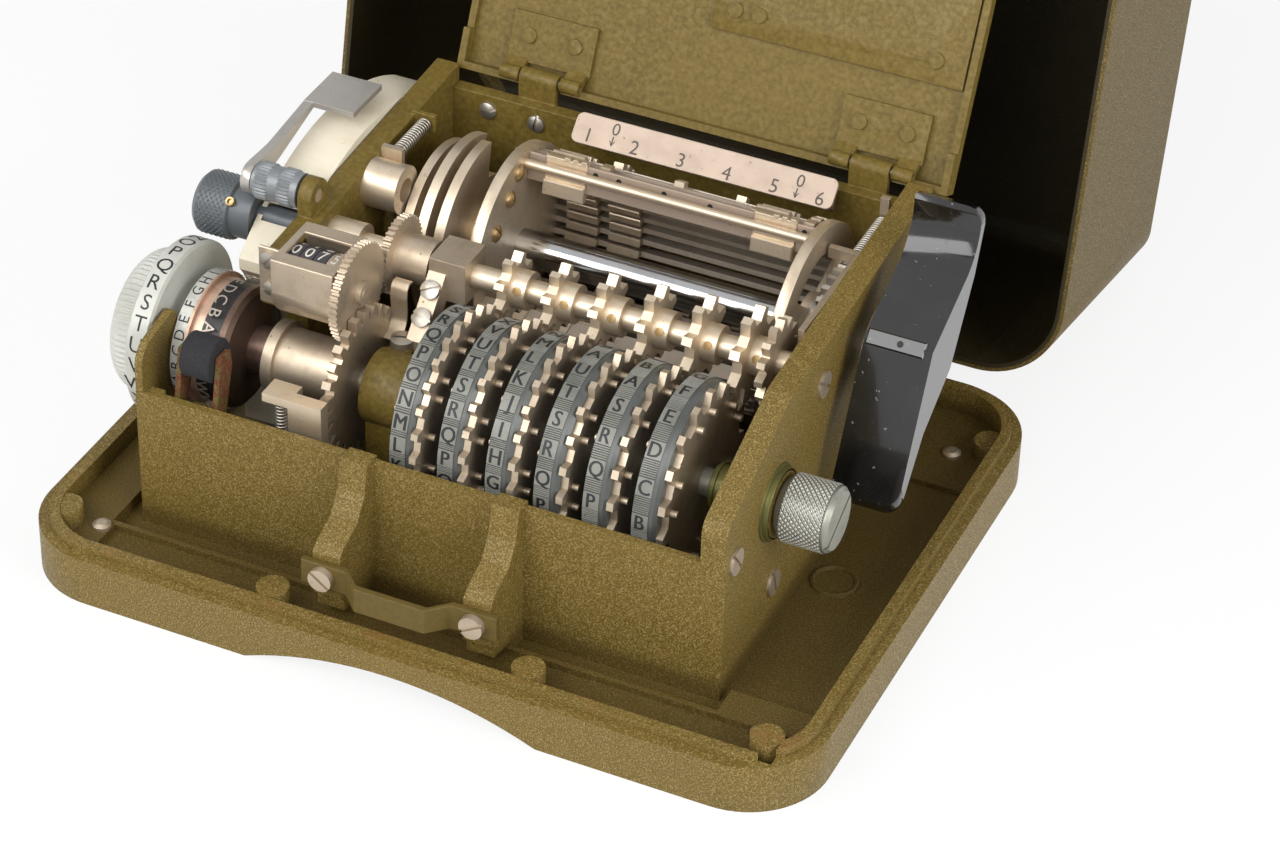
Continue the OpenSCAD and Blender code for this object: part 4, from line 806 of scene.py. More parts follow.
def slab(outline: Profile, spot: Sequence[float], right: Vector, top: Vector, low: float, high: float,
         edge: float = 0.15) -> Patch:
    """A flat piece with chamfered edges.

    Its rings are the outline drawn in by edge at the low face, full from low + edge to high - edge, and drawn
    in again at the high face; both faces close on the outline's middle. All sizes are in millimetres.

    Args:
        outline: corners along right and top.
        spot: the outline's origin.
        right: first direction.
        top: second direction.
        low: place of the first face along right x top.
        high: place of the second face.
        edge: of the chamfer.
    Returns:
        Points and quads.
    """
    full = np.array(outline, float)
    middle = np.tile(full.mean(0), (len(full), 1))
    inner = full - edge * np.sign(np.round(full - middle, 3))
    rings = np.stack([middle, inner, full, full, inner, middle])
    place = np.array([low, low, low + edge, high - edge, high, high])[:, None, None]
    out = np.array(right.cross(top))
    points = rings[..., :1] * np.array(right) + rings[..., 1:] * np.array(top) + place * out
    return patch((points + np.array(spot)) * MM, wrap_columns=True)


def rect(left: float, right: float, low: float, high: float) -> List[Tuple[float, float]]:
    """Corners of a rectangle."""
    return [(left, low), (right, low), (right, high), (left, high)]


def block(low: Sequence[float], high: Sequence[float], edge: float = 0.2) -> Patch:
    """A chamfered box between two corners in millimetres."""
    outline = rect(low[0], high[0], low[1], high[1])
    return slab(outline, (0, 0, 0), RIGHT, BACK, low[2], high[2], edge)


def join(parts: Sequence[Patch]) -> Patch:
    """Several patches as one, their faces renumbered; triangles and quads may not be mixed."""
    starts = np.cumsum([0] + [len(p) for p, _ in parts[:-1]])
    return np.concatenate([p for p, _ in parts]), np.concatenate([f + s for (_, f), s in zip(parts, starts)])


def make(name: str, shape: Patch, finish: Finish, body: str, sharp: float = 35.0,
         weld: bool = True, stands_for: Sequence[str] = ()) -> bpy.types.Object:
    """A finished piece that rides on a body.

    Args:
        name: the piece's name.
        shape: its points and faces in metres, in the machine's frame.
        finish: its finish.
        body: the body it moves with.
        sharp: angle in degrees past which an edge is sharp.
        weld: merges doubled points and turns faces outwards.
        stands_for: solids that it replaces.
    Returns:
        The object.
    """
    mesh = bpy.data.meshes.new(name)
    mesh.from_pydata(shape[0].tolist(), [], shape[1].tolist())
    if weld:
        work = bmesh.new()
        work.from_mesh(mesh)
        bmesh.ops.remove_doubles(work, verts=work.verts, dist=2e-7)
        bmesh.ops.dissolve_degenerate(work, edges=work.edges, dist=1e-8)
        bmesh.ops.recalc_face_normals(work, faces=work.faces)
        work.to_mesh(mesh)
        work.free()
    mesh.shade_smooth()
    mesh.set_sharp_from_angle(angle=math.radians(sharp))
    mesh.materials.append(finish.material())
    piece = bpy.data.objects.new(name, mesh)
    bpy.context.scene.collection.objects.link(piece)
    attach(piece, body)
    if stands_for:
        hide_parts(*stands_for)
    LOG.info("%s: %d faces on %s", name, len(mesh.polygons), body)
    return piece


class Glyphs:
    """Letter shapes, each made a flat triangle mesh once, 1 high and centred."""

    def __init__(self) -> None:
        """Starts with no letters made."""
        self.known: Dict[str, Patch] = {}
        self.depth = 0.08 * MM
        self.scale = 1.0
        self.middle = 0.0

    def raw(self, char: str) -> Patch:
        """One letter as the built-in font draws it.

        Args:
            char: the letter.
        Returns:
            Points (u right, v up, w out) and triangles.
        """
        curve = bpy.data.curves.new("glyph", "FONT")
        curve.body, curve.size, curve.extrude, curve.resolution_u = char, 1.0, 0.02, 3
        holder = bpy.data.objects.new("glyph", curve)
        bpy.context.scene.collection.objects.link(holder)
        mesh = bpy.data.meshes.new_from_object(holder.evaluated_get(bpy.context.evaluated_depsgraph_get()))
        self.cut(mesh)
        mesh.calc_loop_triangles()
        points = np.empty(len(mesh.vertices) * 3)
        mesh.vertices.foreach_get("co", points)
        faces = np.empty(len(mesh.loop_triangles) * 3, np.int32)
        mesh.loop_triangles.foreach_get("vertices", faces)
        bpy.data.objects.remove(holder)
        bpy.data.curves.remove(curve)
        bpy.data.meshes.remove(mesh)
        return points.reshape(-1, 3), faces.reshape(-1, 3)

    def cut(self, mesh: bpy.types.Mesh, parts: int = 8) -> None:
        """Cuts a letter across at even heights, so that its straight strokes can follow a rim.

        Args:
            mesh: the letter, changed in place.
            parts: how many strips it is cut into.
        """
        work = bmesh.new()
        work.from_mesh(mesh)
        heights = [v.co.y for v in work.verts]
        for level in np.linspace(min(heights), max(heights), parts + 1)[1:-1]:
            everything = work.verts[:] + work.edges[:] + work.faces[:]
            bmesh.ops.bisect_plane(work, geom=everything, plane_co=(0, level, 0), plane_no=(0, 1, 0))
        work.to_mesh(mesh)
        work.free()

    def get(self, char: str) -> Patch:
        """The letter with capitals 1 high, its middle at the origin, its face at w 0 and its back sunk.

        Args:
            char: the letter.
        Returns:
            Points, with w in metres, and triangles.
        """
        if not self.known:
            tall = self.raw("H")[0][:, 1]
            self.scale = 1.0 / np.ptp(tall)
            self.middle = (tall.max() + tall.min()) / 2
        if char not in self.known:
            points, faces = self.raw(char)
            u, v, w = points.T
            flat = (np.stack([u, v], 1) - [(u.max() + u.min()) / 2, self.middle]) * self.scale
            self.known[char] = (np.column_stack([flat, np.where(w < w.mean(), -self.depth, 0.0)]), faces)
        return self.known[char]

    def on_rim(self, char: str, axis: Axis, radius: float, x: float, angle: float, height: float,
               up: Up = Up.ROUND, wide: float = 1.0, lift: float = 0.04 * MM) -> Patch:
        """A letter bent round a rim.

        A point's place along the rim turns into an angle, v / radius, and its w into radius.

        Args:
            char: the letter.
            axis: the rim's axis.
            radius: of the rim.
            x: middle of the letter along X.
            angle: middle of the letter, in degrees from the top towards the front.
            height: of a capital.
            up: where the letter's top points.
            wide: stretch of the letter's width.
            lift: how far the letter's face stands off the rim.
        Returns:
            Points and triangles.
        """
        points, faces = self.get(char)
        u, v = points[:, 0] * height * wide, points[:, 1] * height
        if up is Up.LEFT:
            u, v = -v, u
        elif up is Up.RIGHT:
            u, v = v, -u
        a = math.radians(angle) - v / radius
        r = radius + lift + points[:, 2]
        y, z = axis.value
        return np.stack([x + u, y - r * np.sin(a), z + r * np.cos(a)], -1), faces

    def on_plane(self, char: str, spot: Vector, right: Vector, top: Vector, height: float,
                 wide: float = 1.0, lift: float = 0.03 * MM) -> Patch:
        """A letter on a flat face.

        Args:
            char: the letter.
            spot: its middle.
            right: unit vector along the line of writing.
            top: unit vector to the letter's top.
            height: of a capital.
            wide: stretch of the letter's width.
            lift: how far its face stands off the plane.
        Returns:
            Points and triangles.
        """
        points, faces = self.get(char)
        size = np.array([height * wide, height, 1.0])
        place = (points * size + [0, 0, lift]) @ np.array([right, top, right.cross(top)])
        return place + np.array(spot), faces


GLYPHS = Glyphs()


@dataclass
class KeyWheels:
    """Six key wheels: bands of letter pads with hatched gaps, and their letters."""

    letters: Tuple[str, ...] = (
        ascii_uppercase, *(ascii_uppercase.replace("W", "")[:n] for n in (25, 23, 21, 19, 17)))
    marks: Tuple[Tuple[str, float], ...] = (
        ("O", 39.5), ("S", 37.5), ("J", 39.5), ("S", 40.5), ("R", 42.0), ("D", 42.0))
    radius: float = 20.7 * MM
    rise: float = 0.18 * MM
    sunk: float = 0.2 * MM
    pad: float = 3.9 * MM
    ridge: float = 0.5 * MM
    band: Tuple[float, float] = (0.25 * MM, 3.75 * MM)
    tall: float = 3.1 * MM
    double: Tuple[float, float] = (-0.09, 0.09)

    def angle(self, k: int, i: np.ndarray) -> np.ndarray:
        """Angle in degrees of letter i of wheel k: the marked letter's angle less whole steps."""
        char, at = self.marks[k]
        return at - (i - self.letters[k].index(char)) * 360.0 / len(self.letters[k])

    def pads(self, k: int) -> Patch:
        """The raised band of one wheel.

        Round the wheel the radius follows a repeated line of arc length and height: up at a pad's start,
        level along it, down at its end, then a saw of ridges to the next pad. Across, the band is a closed
        ring of four points: two at that radius and two below the rim.

        Args:
            k: wheel number from 0.
        Returns:
            Points and quads.
        """
        count = len(self.letters[k])
        pitch = 2 * math.pi * self.radius / count
        gap = pitch - self.pad
        teeth = max(2, round(gap / self.ridge))
        half, edge = self.pad / 2, 0.08 * MM
        top = np.linspace(-half + edge, half - edge, 4)
        place = np.arange(4 * teeth) // 4 + np.tile([0.02, 0.25, 0.7, 0.95], teeth)
        s = np.concatenate([[-half], top, [half], half + edge + (gap - 2 * edge) * place / teeth])
        h = np.concatenate([[0], np.full(4, self.rise), [0], np.tile([0, 0.75, 0.75, 0], teeth) * self.rise])
        at = self.angle(k, np.arange(count))
        a = (np.radians(at)[:, None] + s[None, :] / self.radius)[::-1].reshape(-1, 1)
        r = self.radius + np.tile(h, count)
        foot = np.full_like(r, self.radius - self.sunk)
        radii = np.stack([foot, r, r, foot], 1)
        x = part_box(f"key_wheel_{k + 1}")[0].x + np.repeat(self.band, 2)
        y0, z0 = Axis.WHEEL.value
        points = [np.broadcast_to(x, radii.shape), y0 - radii * np.sin(a), z0 + radii * np.cos(a)]
        return patch(np.stack(points, -1), True, True)

    def build(self) -> None:
        """Makes all bands and letters, each letter drawn twice, a little apart, so that it looks bold."""
        for k, row in enumerate(self.letters):
            body = f"wheel_{k + 1}"
            make(f"letter_band_{k + 1}", self.pads(k), WHEEL_PAD, body, 25)
            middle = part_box(f"key_wheel_{k + 1}")[0].x + sum(self.band) / 2
            at = self.angle(k, np.arange(len(row)))
            rim = self.radius + self.rise
            shapes = [GLYPHS.on_rim(c, Axis.WHEEL, rim, middle + d * MM, float(a), self.tall,
                                    wide=0.9, lift=(0.04 + 0.05 * d) * MM)
                      for c, a in zip(row, at) for d in self.double]
            make(f"wheel_letters_{k + 1}", join(shapes), INK, body, weld=False)


@dataclass
class TypeGroup:
    """The setting knob, letter disc and type wheel on the fixed axle.

    A row of letters has its piece, the node that carries it, its x on the node, a letter with its angle, the
    way the letters run, their height, the way their tops point, the finish and the slot. A band of the type
    wheel has its start, colour and metal share.
    """

    ribs: int = 72
    rib: float = 0.24 * MM
    crown: Profile = ((0, 4.6), (0.25, 3.4), (0.9, 2.1), (1.7, 1.2), (2.6, 0.6), (3.4, 0.3))
    rows: Tuple[Tuple, ...] = (
        ("disc_letters", "letter_disc", 2.6, "R", 28.5, 1, 3.3, Up.ROUND, INK, "bakelite"),
        ("ring_letters", "type_wheel", 1.4, "E", 44.0, -1, 2.3, Up.LEFT, INK, "bakelite"),
        ("type_letters", "type_wheel", 7.3, "A", 45.6, -1, 2.6, Up.RIGHT, TYPE_FACE, "cream"))
    bands: Tuple[Tuple[float, Colour, float], ...] = (
        (2.6, tint(206, 172, 150), 0.6), (5.4, tint(44, 40, 40), 0.2), (9.6, tint(112, 92, 80), 0.8))

    def knob(self) -> None:
        """The setting knob: its profile turned, with a cosine of ribs on the rim that fades on the crown."""
        low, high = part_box("setting_knob")
        r = (high.y - low.y) / 2
        left, right = low.x, high.x
        profile = [(left, 0.0)] + [(left + x * MM, r - drop * MM) for x, drop in self.crown]
        profile += [(x, r - 0.25 * MM) for x in np.linspace(left + 3.6 * MM, right - 0.8 * MM, 4)]
        profile += [(right - 0.4 * MM, r - 0.5 * MM), (right, r - 1.2 * MM), (right, 0.0)]

        def wave(x: np.ndarray, radius: np.ndarray, a: np.ndarray) -> np.ndarray:
            """Rib height times a rounded cosine of the angle, on the rim only.

            Args:
                x: place along X.
                radius: of the profile, not needed here.
                a: angle round the axis.
            Returns:
                Radius to add.
            """
            starts = np.clip((x - left - 1.2 * MM) / (1.6 * MM), 0, 1)
            ends = np.clip((right - x - 0.3 * MM) / (0.6 * MM), 0, 1)
            turn = np.cos(self.ribs * a)
            return self.rib * starts * ends * np.sign(turn) * np.abs(turn) ** 0.6

        shape = turned(profile, Axis.WHEEL.value, self.ribs * 8, wave)
        make("ribbed_knob", shape, IVORY, "type_group", 50, stands_for=["setting_knob"])

    def lettering(self) -> None:
        """Letters round the disc's rim, the inner ring and the type wheel."""
        step = 360.0 / len(ascii_uppercase)
        for piece, node, x, mark, at, way, tall, up, finish, slot in self.rows:
            low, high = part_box(node)
            r = (high.y - low.y) / 2
            angles = at + way * step * (np.arange(len(ascii_uppercase)) - ascii_uppercase.index(mark))
            shapes = [GLYPHS.on_rim(c, Axis.WHEEL, r, low.x + x * MM, float(a), tall * MM, up)
                      for c, a in zip(ascii_uppercase, angles)]
            make(piece, join(shapes), finish, "type_group", weld=False)

    def build(self) -> None:
        """Makes the knob and letters and plates the type wheel in bands."""
        self.knob()
        self.lettering()
        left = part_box("type_wheel")[0].x
        bands = tuple((left + start * MM, colour, metal) for start, colour, metal in self.bands)
        dress("type_wheel", BandedMetal("type_wheel_bands", tint(196, 196, 188), 0.4, 0.2, bands))


@dataclass
class Counter:
    """Number wheels seen through the counter's window."""

    shown: Tuple[int, ...] = (0, 0, 7, 5)
    radius: float = 6.6 * MM
    first: float = 1.4375 * MM
    pitch: float = 3.075 * MM
    tall: float = 3.1 * MM

    def build(self) -> None:
        """White digits round each number wheel, the shown one at the top."""
        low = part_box("digit_wheels")[0].x + self.first
        for name, body, wheels in (("tens_digits", "digits", (0, 1, 2)), ("units_digits", "counter", (3,))):
            shapes = [GLYPHS.on_rim(c, Axis.COUNTER, self.radius, low + self.pitch * w,
                                    (i - self.shown[w]) * -36.0 + 1.0, self.tall, wide=0.85)
                      for w in wheels for i, c in enumerate(digits)]
            make(name, join(shapes), WHITE, body, weld=False)


@dataclass
class IndexPlate:
    """Numbers and arrows on the leaning plate over the drum: each mark's x, place up the plate and height."""

    marks: Tuple[Tuple[str, float, float, float], ...] = (
        ("1", -13.2, 2.2, 3.0), ("2", -2.2, 2.1, 3.0), ("3", 8.7, 2.1, 3.0), ("4", 19.4, 2.0, 3.0),
        ("5", 30.4, 2.0, 3.0), ("6", 41.0, 1.9, 3.0), ("0", -7.4, 4.9, 2.7), ("0", 35.8, 4.5, 2.7),
        ("I", -7.5, 2.2, 2.0), ("I", 35.6, 1.8, 2.0), ("V", -7.5, 1.6, 1.2), ("V", 35.6, 1.2, 1.2))
    foot: Tuple[float, float] = (24.8, 1.0)

    def build(self) -> None:
        """Writes each mark at its place, a V under a stroke as an arrow."""
        top = Vector((0, math.sqrt(0.5), math.sqrt(0.5)))
        foot = Axis.DRUM.middle() + top * self.foot[0] + RIGHT.cross(top) * self.foot[1]
        shapes = [GLYPHS.on_plane(c, (foot + RIGHT * x + top * up) * MM, RIGHT, top, tall * MM,
                                  1.3 if c == "V" else 1.0) for c, x, up, tall in self.marks]
        make("plate_numbers", join(shapes), ENGRAVED, "frame", weld=False)


@dataclass
class Knobs:
    """Diamond knurls on the axle knob and the tape feed knob, and flutes on the press roller."""

    depth: float = 0.34 * MM
    flute: float = 0.16 * MM

    def knurl(self, left: float, right: float, radius: float, axis: Axis, count: int, rows: int) -> Patch:
        """A knurled sleeve.

        The radius grows by depth times the smaller of two slanted triangle waves, so diamonds stand up
        between crossed grooves; at both ends the sleeve bends in below the knob's own skin.

        Args:
            left: its left end.
            right: its right end.
            radius: of the knob.
            axis: the knob's axis.
            count: diamonds round it.
            rows: diamonds along it.
        Returns:
            Points and quads.
        """
        inner = radius - 0.4 * MM
        along = np.linspace(left, right, rows * 4 + 1)[1:-1]
        profile = [(left, inner), (left, radius)] + [(x, radius + 0.02 * MM) for x in along]
        profile += [(right, radius), (right, inner)]

        def wave(x: np.ndarray, r: np.ndarray, a: np.ndarray) -> np.ndarray:
            """Smaller of two triangle waves of the angle plus or minus the place along X.

            Args:
                x: place along X.
                r: radius of the profile.
                a: angle round the axis.
            Returns:
                Radius to add.
            """
            u, v = count * a / (2 * math.pi), rows * (x - left) / (right - left)
            tri = [np.abs(((u + s * v) % 1.0) * 2 - 1) for s in (1, -1)]
            return self.depth * np.minimum(*tri) * (r > radius + 0.01 * MM)

        return turned(profile, axis.value, count * 4, wave)

    def flutes(self, left: float, right: float, radius: float, axis: Axis, count: int) -> Patch:
        """A fluted sleeve: its radius is a rounded cosine of the angle, with chamfered ends.

        Args:
            left: its left end.
            right: its right end.
            radius: of its crests.
            axis: its axis.
            count: flutes round it.
        Returns:
            Points and quads.
        """
        inner, cut = radius - 0.6 * MM, 0.3 * MM
        profile = [(left, inner), (left, radius - cut), (left + cut, radius), (right - cut, radius),
                   (right, radius - cut), (right, inner)]

        def wave(x: np.ndarray, r: np.ndarray, a: np.ndarray) -> np.ndarray:
            """Depth of the flutes, on the sleeve's crests only."""
            return -self.flute * (1 + np.cos(count * a)) * (r > inner + 0.05 * MM)

        return turned(profile, axis.value, count * 8, wave)

    def build(self) -> None:
        """Makes both knurls, the pin in the tape feed knob and the press roller's flutes."""
        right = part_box("key_axle")[1].x
        knurl = self.knurl(right - 10.6 * MM, right - 1.2 * MM, 7.0 * MM, Axis.WHEEL, 36, 8)
        make("axle_knob_knurl", knurl, KNURL, "axle", 20)
        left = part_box("tape_feed_knob")[0].x
        knurl = self.knurl(left + 1.0 * MM, left + 8.2 * MM, 6.7 * MM, Axis.FEED, 30, 6)
        make("feed_knob_knurl", knurl, DARK_GREY, "tape_feed", 20)
        pin = [(-0.3, 0), (-0.3, 0.5), (0.25, 0.6), (0.3, 0.95), (-0.4, 1.05)]
        make("feed_knob_pin", spun(pin, (-70.9, -4.0, 61.0), FRONT + UP), BRONZE, "tape_feed")
        low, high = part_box("press_roller")
        radius = (high.y - low.y) / 2 + 0.35 * MM
        starts = (low.x + 0.6 * MM, high.x - 4.6 * MM)
        bands = [self.flutes(x, x + 3.2 * MM, radius, Axis.PRESS, 30) for x in starts]
        make("press_roller_flutes", join(bands), GREY, "press", 40)


@dataclass
class Springs:
    """Three coil springs in place of their plain solids, each with its start, end and turns."""

    wire: float = 0.27 * MM
    coil: float = 1.3 * MM
    runs: Tuple[Tuple[Tuple[float, float, float], Tuple[float, float, float], int], ...] = (
        ((-46.2, 24.2, 63.9), (-46.2, 38.2, 63.9), 15), ((54.8, 37.2, 60.3), (54.8, 52.2, 60.3), 17),
        ((-41.4, -36.5, 19.5), (-41.4, -36.5, 42.5), 26))

    def build(self) -> None:
        """Each wire is a helix: along the run, plus coil times (cos, sin) of its turns."""
        shapes = []
        for start, end, turns in self.runs:
            a, b = np.array(start) * MM, np.array(end) * MM
            line = (b - a) / np.linalg.norm(b - a)
            side = np.cross(line, [1, 0, 0])
            side /= np.linalg.norm(side)
            top = np.cross(line, side)
            t = np.linspace(0, 1, turns * 16 + 1)[:, None]
            turn = t * turns * 2 * math.pi
            ring = np.cos(turn) * side + np.sin(turn) * top
            shapes.append(swept(a + (b - a) * (0.03 + 0.94 * t) + self.coil * ring, self.wire, 8))
        make("coil_springs", join(shapes), STEEL, "frame", 60, stands_for=["springs"])


@dataclass
class InkRoller:
    """The felt ink roller, swollen and uneven."""
    bore: float = 1.2 * MM
    wander: float = 0.035 * MM

    def build(self) -> None:
        """A turned barrel whose radius wanders a little with angle and length."""
        low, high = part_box("ink_roller")
        r, x0, x1 = (high.y - low.y) / 2, low.x, high.x
        axis = ((low.y + high.y) / 2, (low.z + high.z) / 2)
        profile = [(x0, self.bore), (x0, r - 0.7 * MM), (x0 + 0.2 * MM, r - 0.3 * MM)]
        profile += [(x, r - 0.12 * MM) for x in np.linspace(x0 + 0.5 * MM, x1 - 0.5 * MM, 12)]
        profile += [(x1 - 0.2 * MM, r - 0.3 * MM), (x1, r - 0.7 * MM), (x1, self.bore)]

        def wave(x: np.ndarray, radius: np.ndarray, a: np.ndarray) -> np.ndarray:
            """Sum of three slow sines, away from the bore."""
            slow = np.sin(3 * a + 900 * x) + np.sin(7 * a - 1500 * x) + np.sin(2 * a)
            return (radius > 2 * MM) * self.wander * slow

        shape = turned(profile, axis, 96, wave)
        make("felt_roller", shape, FELT, "ink", 60, stands_for=["ink_roller"])


@dataclass
class DrumFittings:
    """Between the drum's end plates: the pierced strip, its riders, the lug saddles and the disc's screws.

    Sizes are in millimetres, along X and away from the drum's axis.
    """

    strip_angle: float = 80.0
    strip: Tuple[float, float, float, float] = (-20.1, 46.0, 16.1, 22.4)
    half: float = 0.45
    holes: Tuple[float, ...] = (-4.3, 1.1, 11.6, 22.2, 33.0, 43.7)
    hole_radius: float = 21.0
    riders: Tuple[float, ...] = (-15.8, 32.4)
    rider: float = 9.6
    claws: Profile = ((4.2, 5.6), (6.2, 7.4), (8.2, 9.4))
    bars: Tuple[int, float, float] = (27, 190.0, 245.0 / 26)
    saddle: Tuple[float, float, float] = (7.5, 15.8, 22.4)
    screws: Tuple[Tuple[float, float, float], ...] = (
        (30.4, 63.0, 30.0), (26.2, 58.8, 70.0), (19.6, 54.0, 110.0))

    def radial(self, angle: float) -> Vector:
        """Unit vector away from the axis at an angle in degrees from +Y."""
        return Vector((0, math.cos(math.radians(angle)), math.sin(math.radians(angle))))

    def plate(self, angle: float, size: Sequence[float], low: float, high: float,
              edge: float = 0.15) -> Patch:
        """A slab along a radius.

        Args:
            angle: of the radius.
            size: its left and right x and its inner and outer radius.
            low: its rear face from the radius.
            high: its front face from the radius.
            edge: its chamfer.
        Returns:
            Points and quads.
        """
        return slab(rect(*size), Axis.DRUM.middle(), RIGHT, self.radial(angle), low, high, edge)

    def saddles(self) -> Patch:
        """One lug saddle near each bar's left end, and a second one that stands aside on the upper bars."""
        count, first, step = self.bars
        wide, inner, outer = self.saddle
        parts = []
        for i in range(count):
            angle = first + step * i
            aside = 30.6 if angle > 380 else -6.6
            for x in (-16.8, aside):
                parts.append(self.plate(angle, (x, x + wide, inner, outer), -0.95, 0.95, 0.2))
        return join(parts)

    def build(self) -> None:
        """Makes the strip with its holes as dark discs of painted shade, the riders with their claws, the
        saddles and the screws.
        """
        angle, out = self.strip_angle, self.radial(self.strip_angle)
        front = RIGHT.cross(out)
        strip = self.plate(angle, self.strip, -self.half, self.half)
        make("drum_strip", strip, NICKEL_MATT, "drum")
        foot = Axis.DRUM.middle() + out * self.hole_radius + front * self.half
        dot = [(-0.1, 0.62), (0.03, 0.6), (0.03, 0)]
        holes = [spun(dot, foot + RIGHT * x, front, 24) for x in self.holes]
        # painted shade: dark discs in place of the strip's holes
        make("strip_holes", join(holes), HOLE_SHADE, "drum")
        parts = []
        for x in self.riders:
            end = x + self.rider
            parts.append(self.plate(angle, (x, end, 17.6, 22.9), -0.5, 0.95))
            parts.append(self.plate(angle, (x, end, 14.2, 17.7), -0.5, 1.9, 0.3))
            parts += [self.plate(angle, (x + a, x + b, 21.6, 23.4), -0.5, 1.0, 0.1) for a, b in self.claws]
        make("strip_riders", join(parts), NICKEL, "drum")
        make("lug_saddles", self.saddles(), NICKEL_DULL, "bars")
        heads = [slotted((self.strip[0], y, z), RIGHT, 1.9, 1.2, turn, 0.7) for y, z, turn in self.screws]
        make("disc_screws", join(heads), BRONZE, "drum")


LEAN = Vector((0, -0.73, 0.68))


@dataclass
class FrameFittings:
    """Small fixed pieces: screws, the counter's bracket, a pad, the leaf spring, collars and rings.

    A head has its seat, the way it faces, radius, height, turn and dome. A ring has its piece, finish, slot,
    seat, the way it faces, points round it and profile. Sizes are in millimetres.
    """

    heads: Tuple[Tuple, ...] = (
        ((-40.4, 56.8, 58.4), FRONT, 2.0, 1.3, 20, 0.5), ((-28.7, 56.8, 58.2), FRONT, 2.0, 1.3, 80, 0.5),
        ((-52.0, -21.2, 62.4), FRONT, 2.0, 1.0, 50, 0.3), ((-52.0, -21.2, 55.4), FRONT, 1.5, 0.9, 10, 0.3),
        ((-22.0, -6.9, 55.2), LEAN, 2.1, 1.3, 25, 0.25), ((-22.0, -11.0, 50.8), LEAN, 2.1, 1.3, -10, 0.25),
        ((-24.9, -14.3, 45.4), UP, 2.6, 1.8, 15, 0.15))
    rings: Tuple[Tuple, ...] = (
        ("axle_collar", PATINA, "nickel", (62.5, -21.5, 39.0), RIGHT, 72, (
            (0.0, 8.4), (0.4, 8.3), (0.5, 7.8), (1.3, 7.7), (1.6, 7.5), (1.6, 7.1), (0.0, 7.1), (0.0, 8.4))),
        ("handle_washer", NICKEL, "nickel", (62.5, 32.0, 43.5), RIGHT, 72, (
            (0.0, 10.6), (1.2, 10.6), (1.6, 10.2), (1.6, 9.4), (0.0, 9.4), (0.0, 10.6))),
        ("floor_ring", OLIVE, "olive_paint", (68.6, -0.3, 5.45), UP, 48, (
            (0.0, 5.4), (0.5, 5.2), (0.7, 4.7), (0.5, 4.2), (0.0, 4.0), (0.0, 5.4))),
        ("axle_bush", PATINA, "nickel", (54.5, -21.5, 39.0), RIGHT, 48, (
            (0.0, 3.2), (0.0, 4.7), (-3.6, 4.7), (-3.7, 5.1), (-4.3, 5.1), (-4.4, 4.6), (-4.9, 4.6),
            (-5.1, 4.2), (-5.1, 3.2), (0.0, 3.2))))
    leaf_line: Profile = ((-6.2, 55.4), (-7.6, 55.6), (-8.6, 54.6), (-8.9, 52.4), (-8.6, 49.8), (-8.8, 47.2),
                          (-10.2, 45.2), (-12.6, 44.1))
    leaf_sides: Tuple[float, float] = (-30.4, -26.6)
    leaf_half: float = 0.2

    def leaf(self) -> Patch:
        """A curled leaf spring: a line of (y, z) points thickened along its normal and drawn out along X."""
        line = np.array(self.leaf_line)
        t, fine = np.linspace(0, 1, len(line)), np.linspace(0, 1, 40)
        curve = np.stack([np.interp(fine, t, line[:, k]) for k in (0, 1)], 1)
        curve = np.concatenate([curve[:1], (curve[:-2] + curve[1:-1] + curve[2:]) / 3, curve[-1:]])
        run = np.gradient(curve, axis=0)
        run /= np.linalg.norm(run, axis=1, keepdims=True)
        normal = np.stack([-run[:, 1], run[:, 0]], 1) * self.leaf_half
        ring = np.concatenate([curve + normal, (curve - normal)[::-1]])
        shut = np.concatenate([curve, curve[::-1]])
        flat = np.stack([shut, ring, ring, shut])
        x = np.repeat(self.leaf_sides, 2)[:, None, None] + 0 * flat[..., :1]
        return patch(np.concatenate([x, flat], -1) * MM, wrap_columns=True)

    def build(self) -> None:
        """Makes every fixed fitting on its carrier."""
        bracket = block((-54.4, -21.2, 51.4), (-49.1, -20.4, 65.2))
        pad = block((-27.4, -17.2, 40.0), (-22.2, -11.6, 45.4), 0.5)
        make("frame_screws", join([slotted(*head) for head in self.heads]), STEEL, "frame")
        make("counter_bracket", bracket, NICKEL_DULL, "frame")
        make("bracket_pad", pad, OLIVE_SMOOTH, "frame")
        make("leaf_spring", self.leaf(), NICKEL, "frame")
        for piece, finish, slot, seat, out, count, profile in self.rings:
            make(piece, spun(profile, seat, out, count), finish, "frame")


@dataclass
class HandleRidge:
    """The narrow flat along the handle's ridge, and the set screw's hole in it as a dark disc of painted
    shade.
    """

    lean: float = math.radians(46.3)
    ridge: Tuple[float, float] = (-1.5, 24.4)
    size: Tuple[float, float, float] = (66.9, 79.6, 1.7)
    hole: float = 74.2

    def build(self) -> None:
        """Places both by the handle's own axes: along the grip and out from the drum's axis."""
        along = Vector((0, math.cos(self.lean), math.sin(self.lean)))
        out = RIGHT.cross(along)
        spot = Axis.DRUM.middle() + along * self.ridge[0] + out * self.ridge[1]
        left, right, half = self.size
        flat = slab(rect(left, right, -half, half), spot, RIGHT, along, -1.6, 0.02, 0.3)
        make("handle_ridge", flat, BAKELITE, "drum")
        rim = [(-0.2, 0.75), (0.08, 0.7), (0.08, 0.45), (0.03, 0.4), (0.03, 0.0)]
        # painted shade: a dark cup in place of the set screw's hole
        make("handle_set_screw", spun(rim, spot + RIGHT * self.hole, out, 24), HOLE_SHADE, "drum")


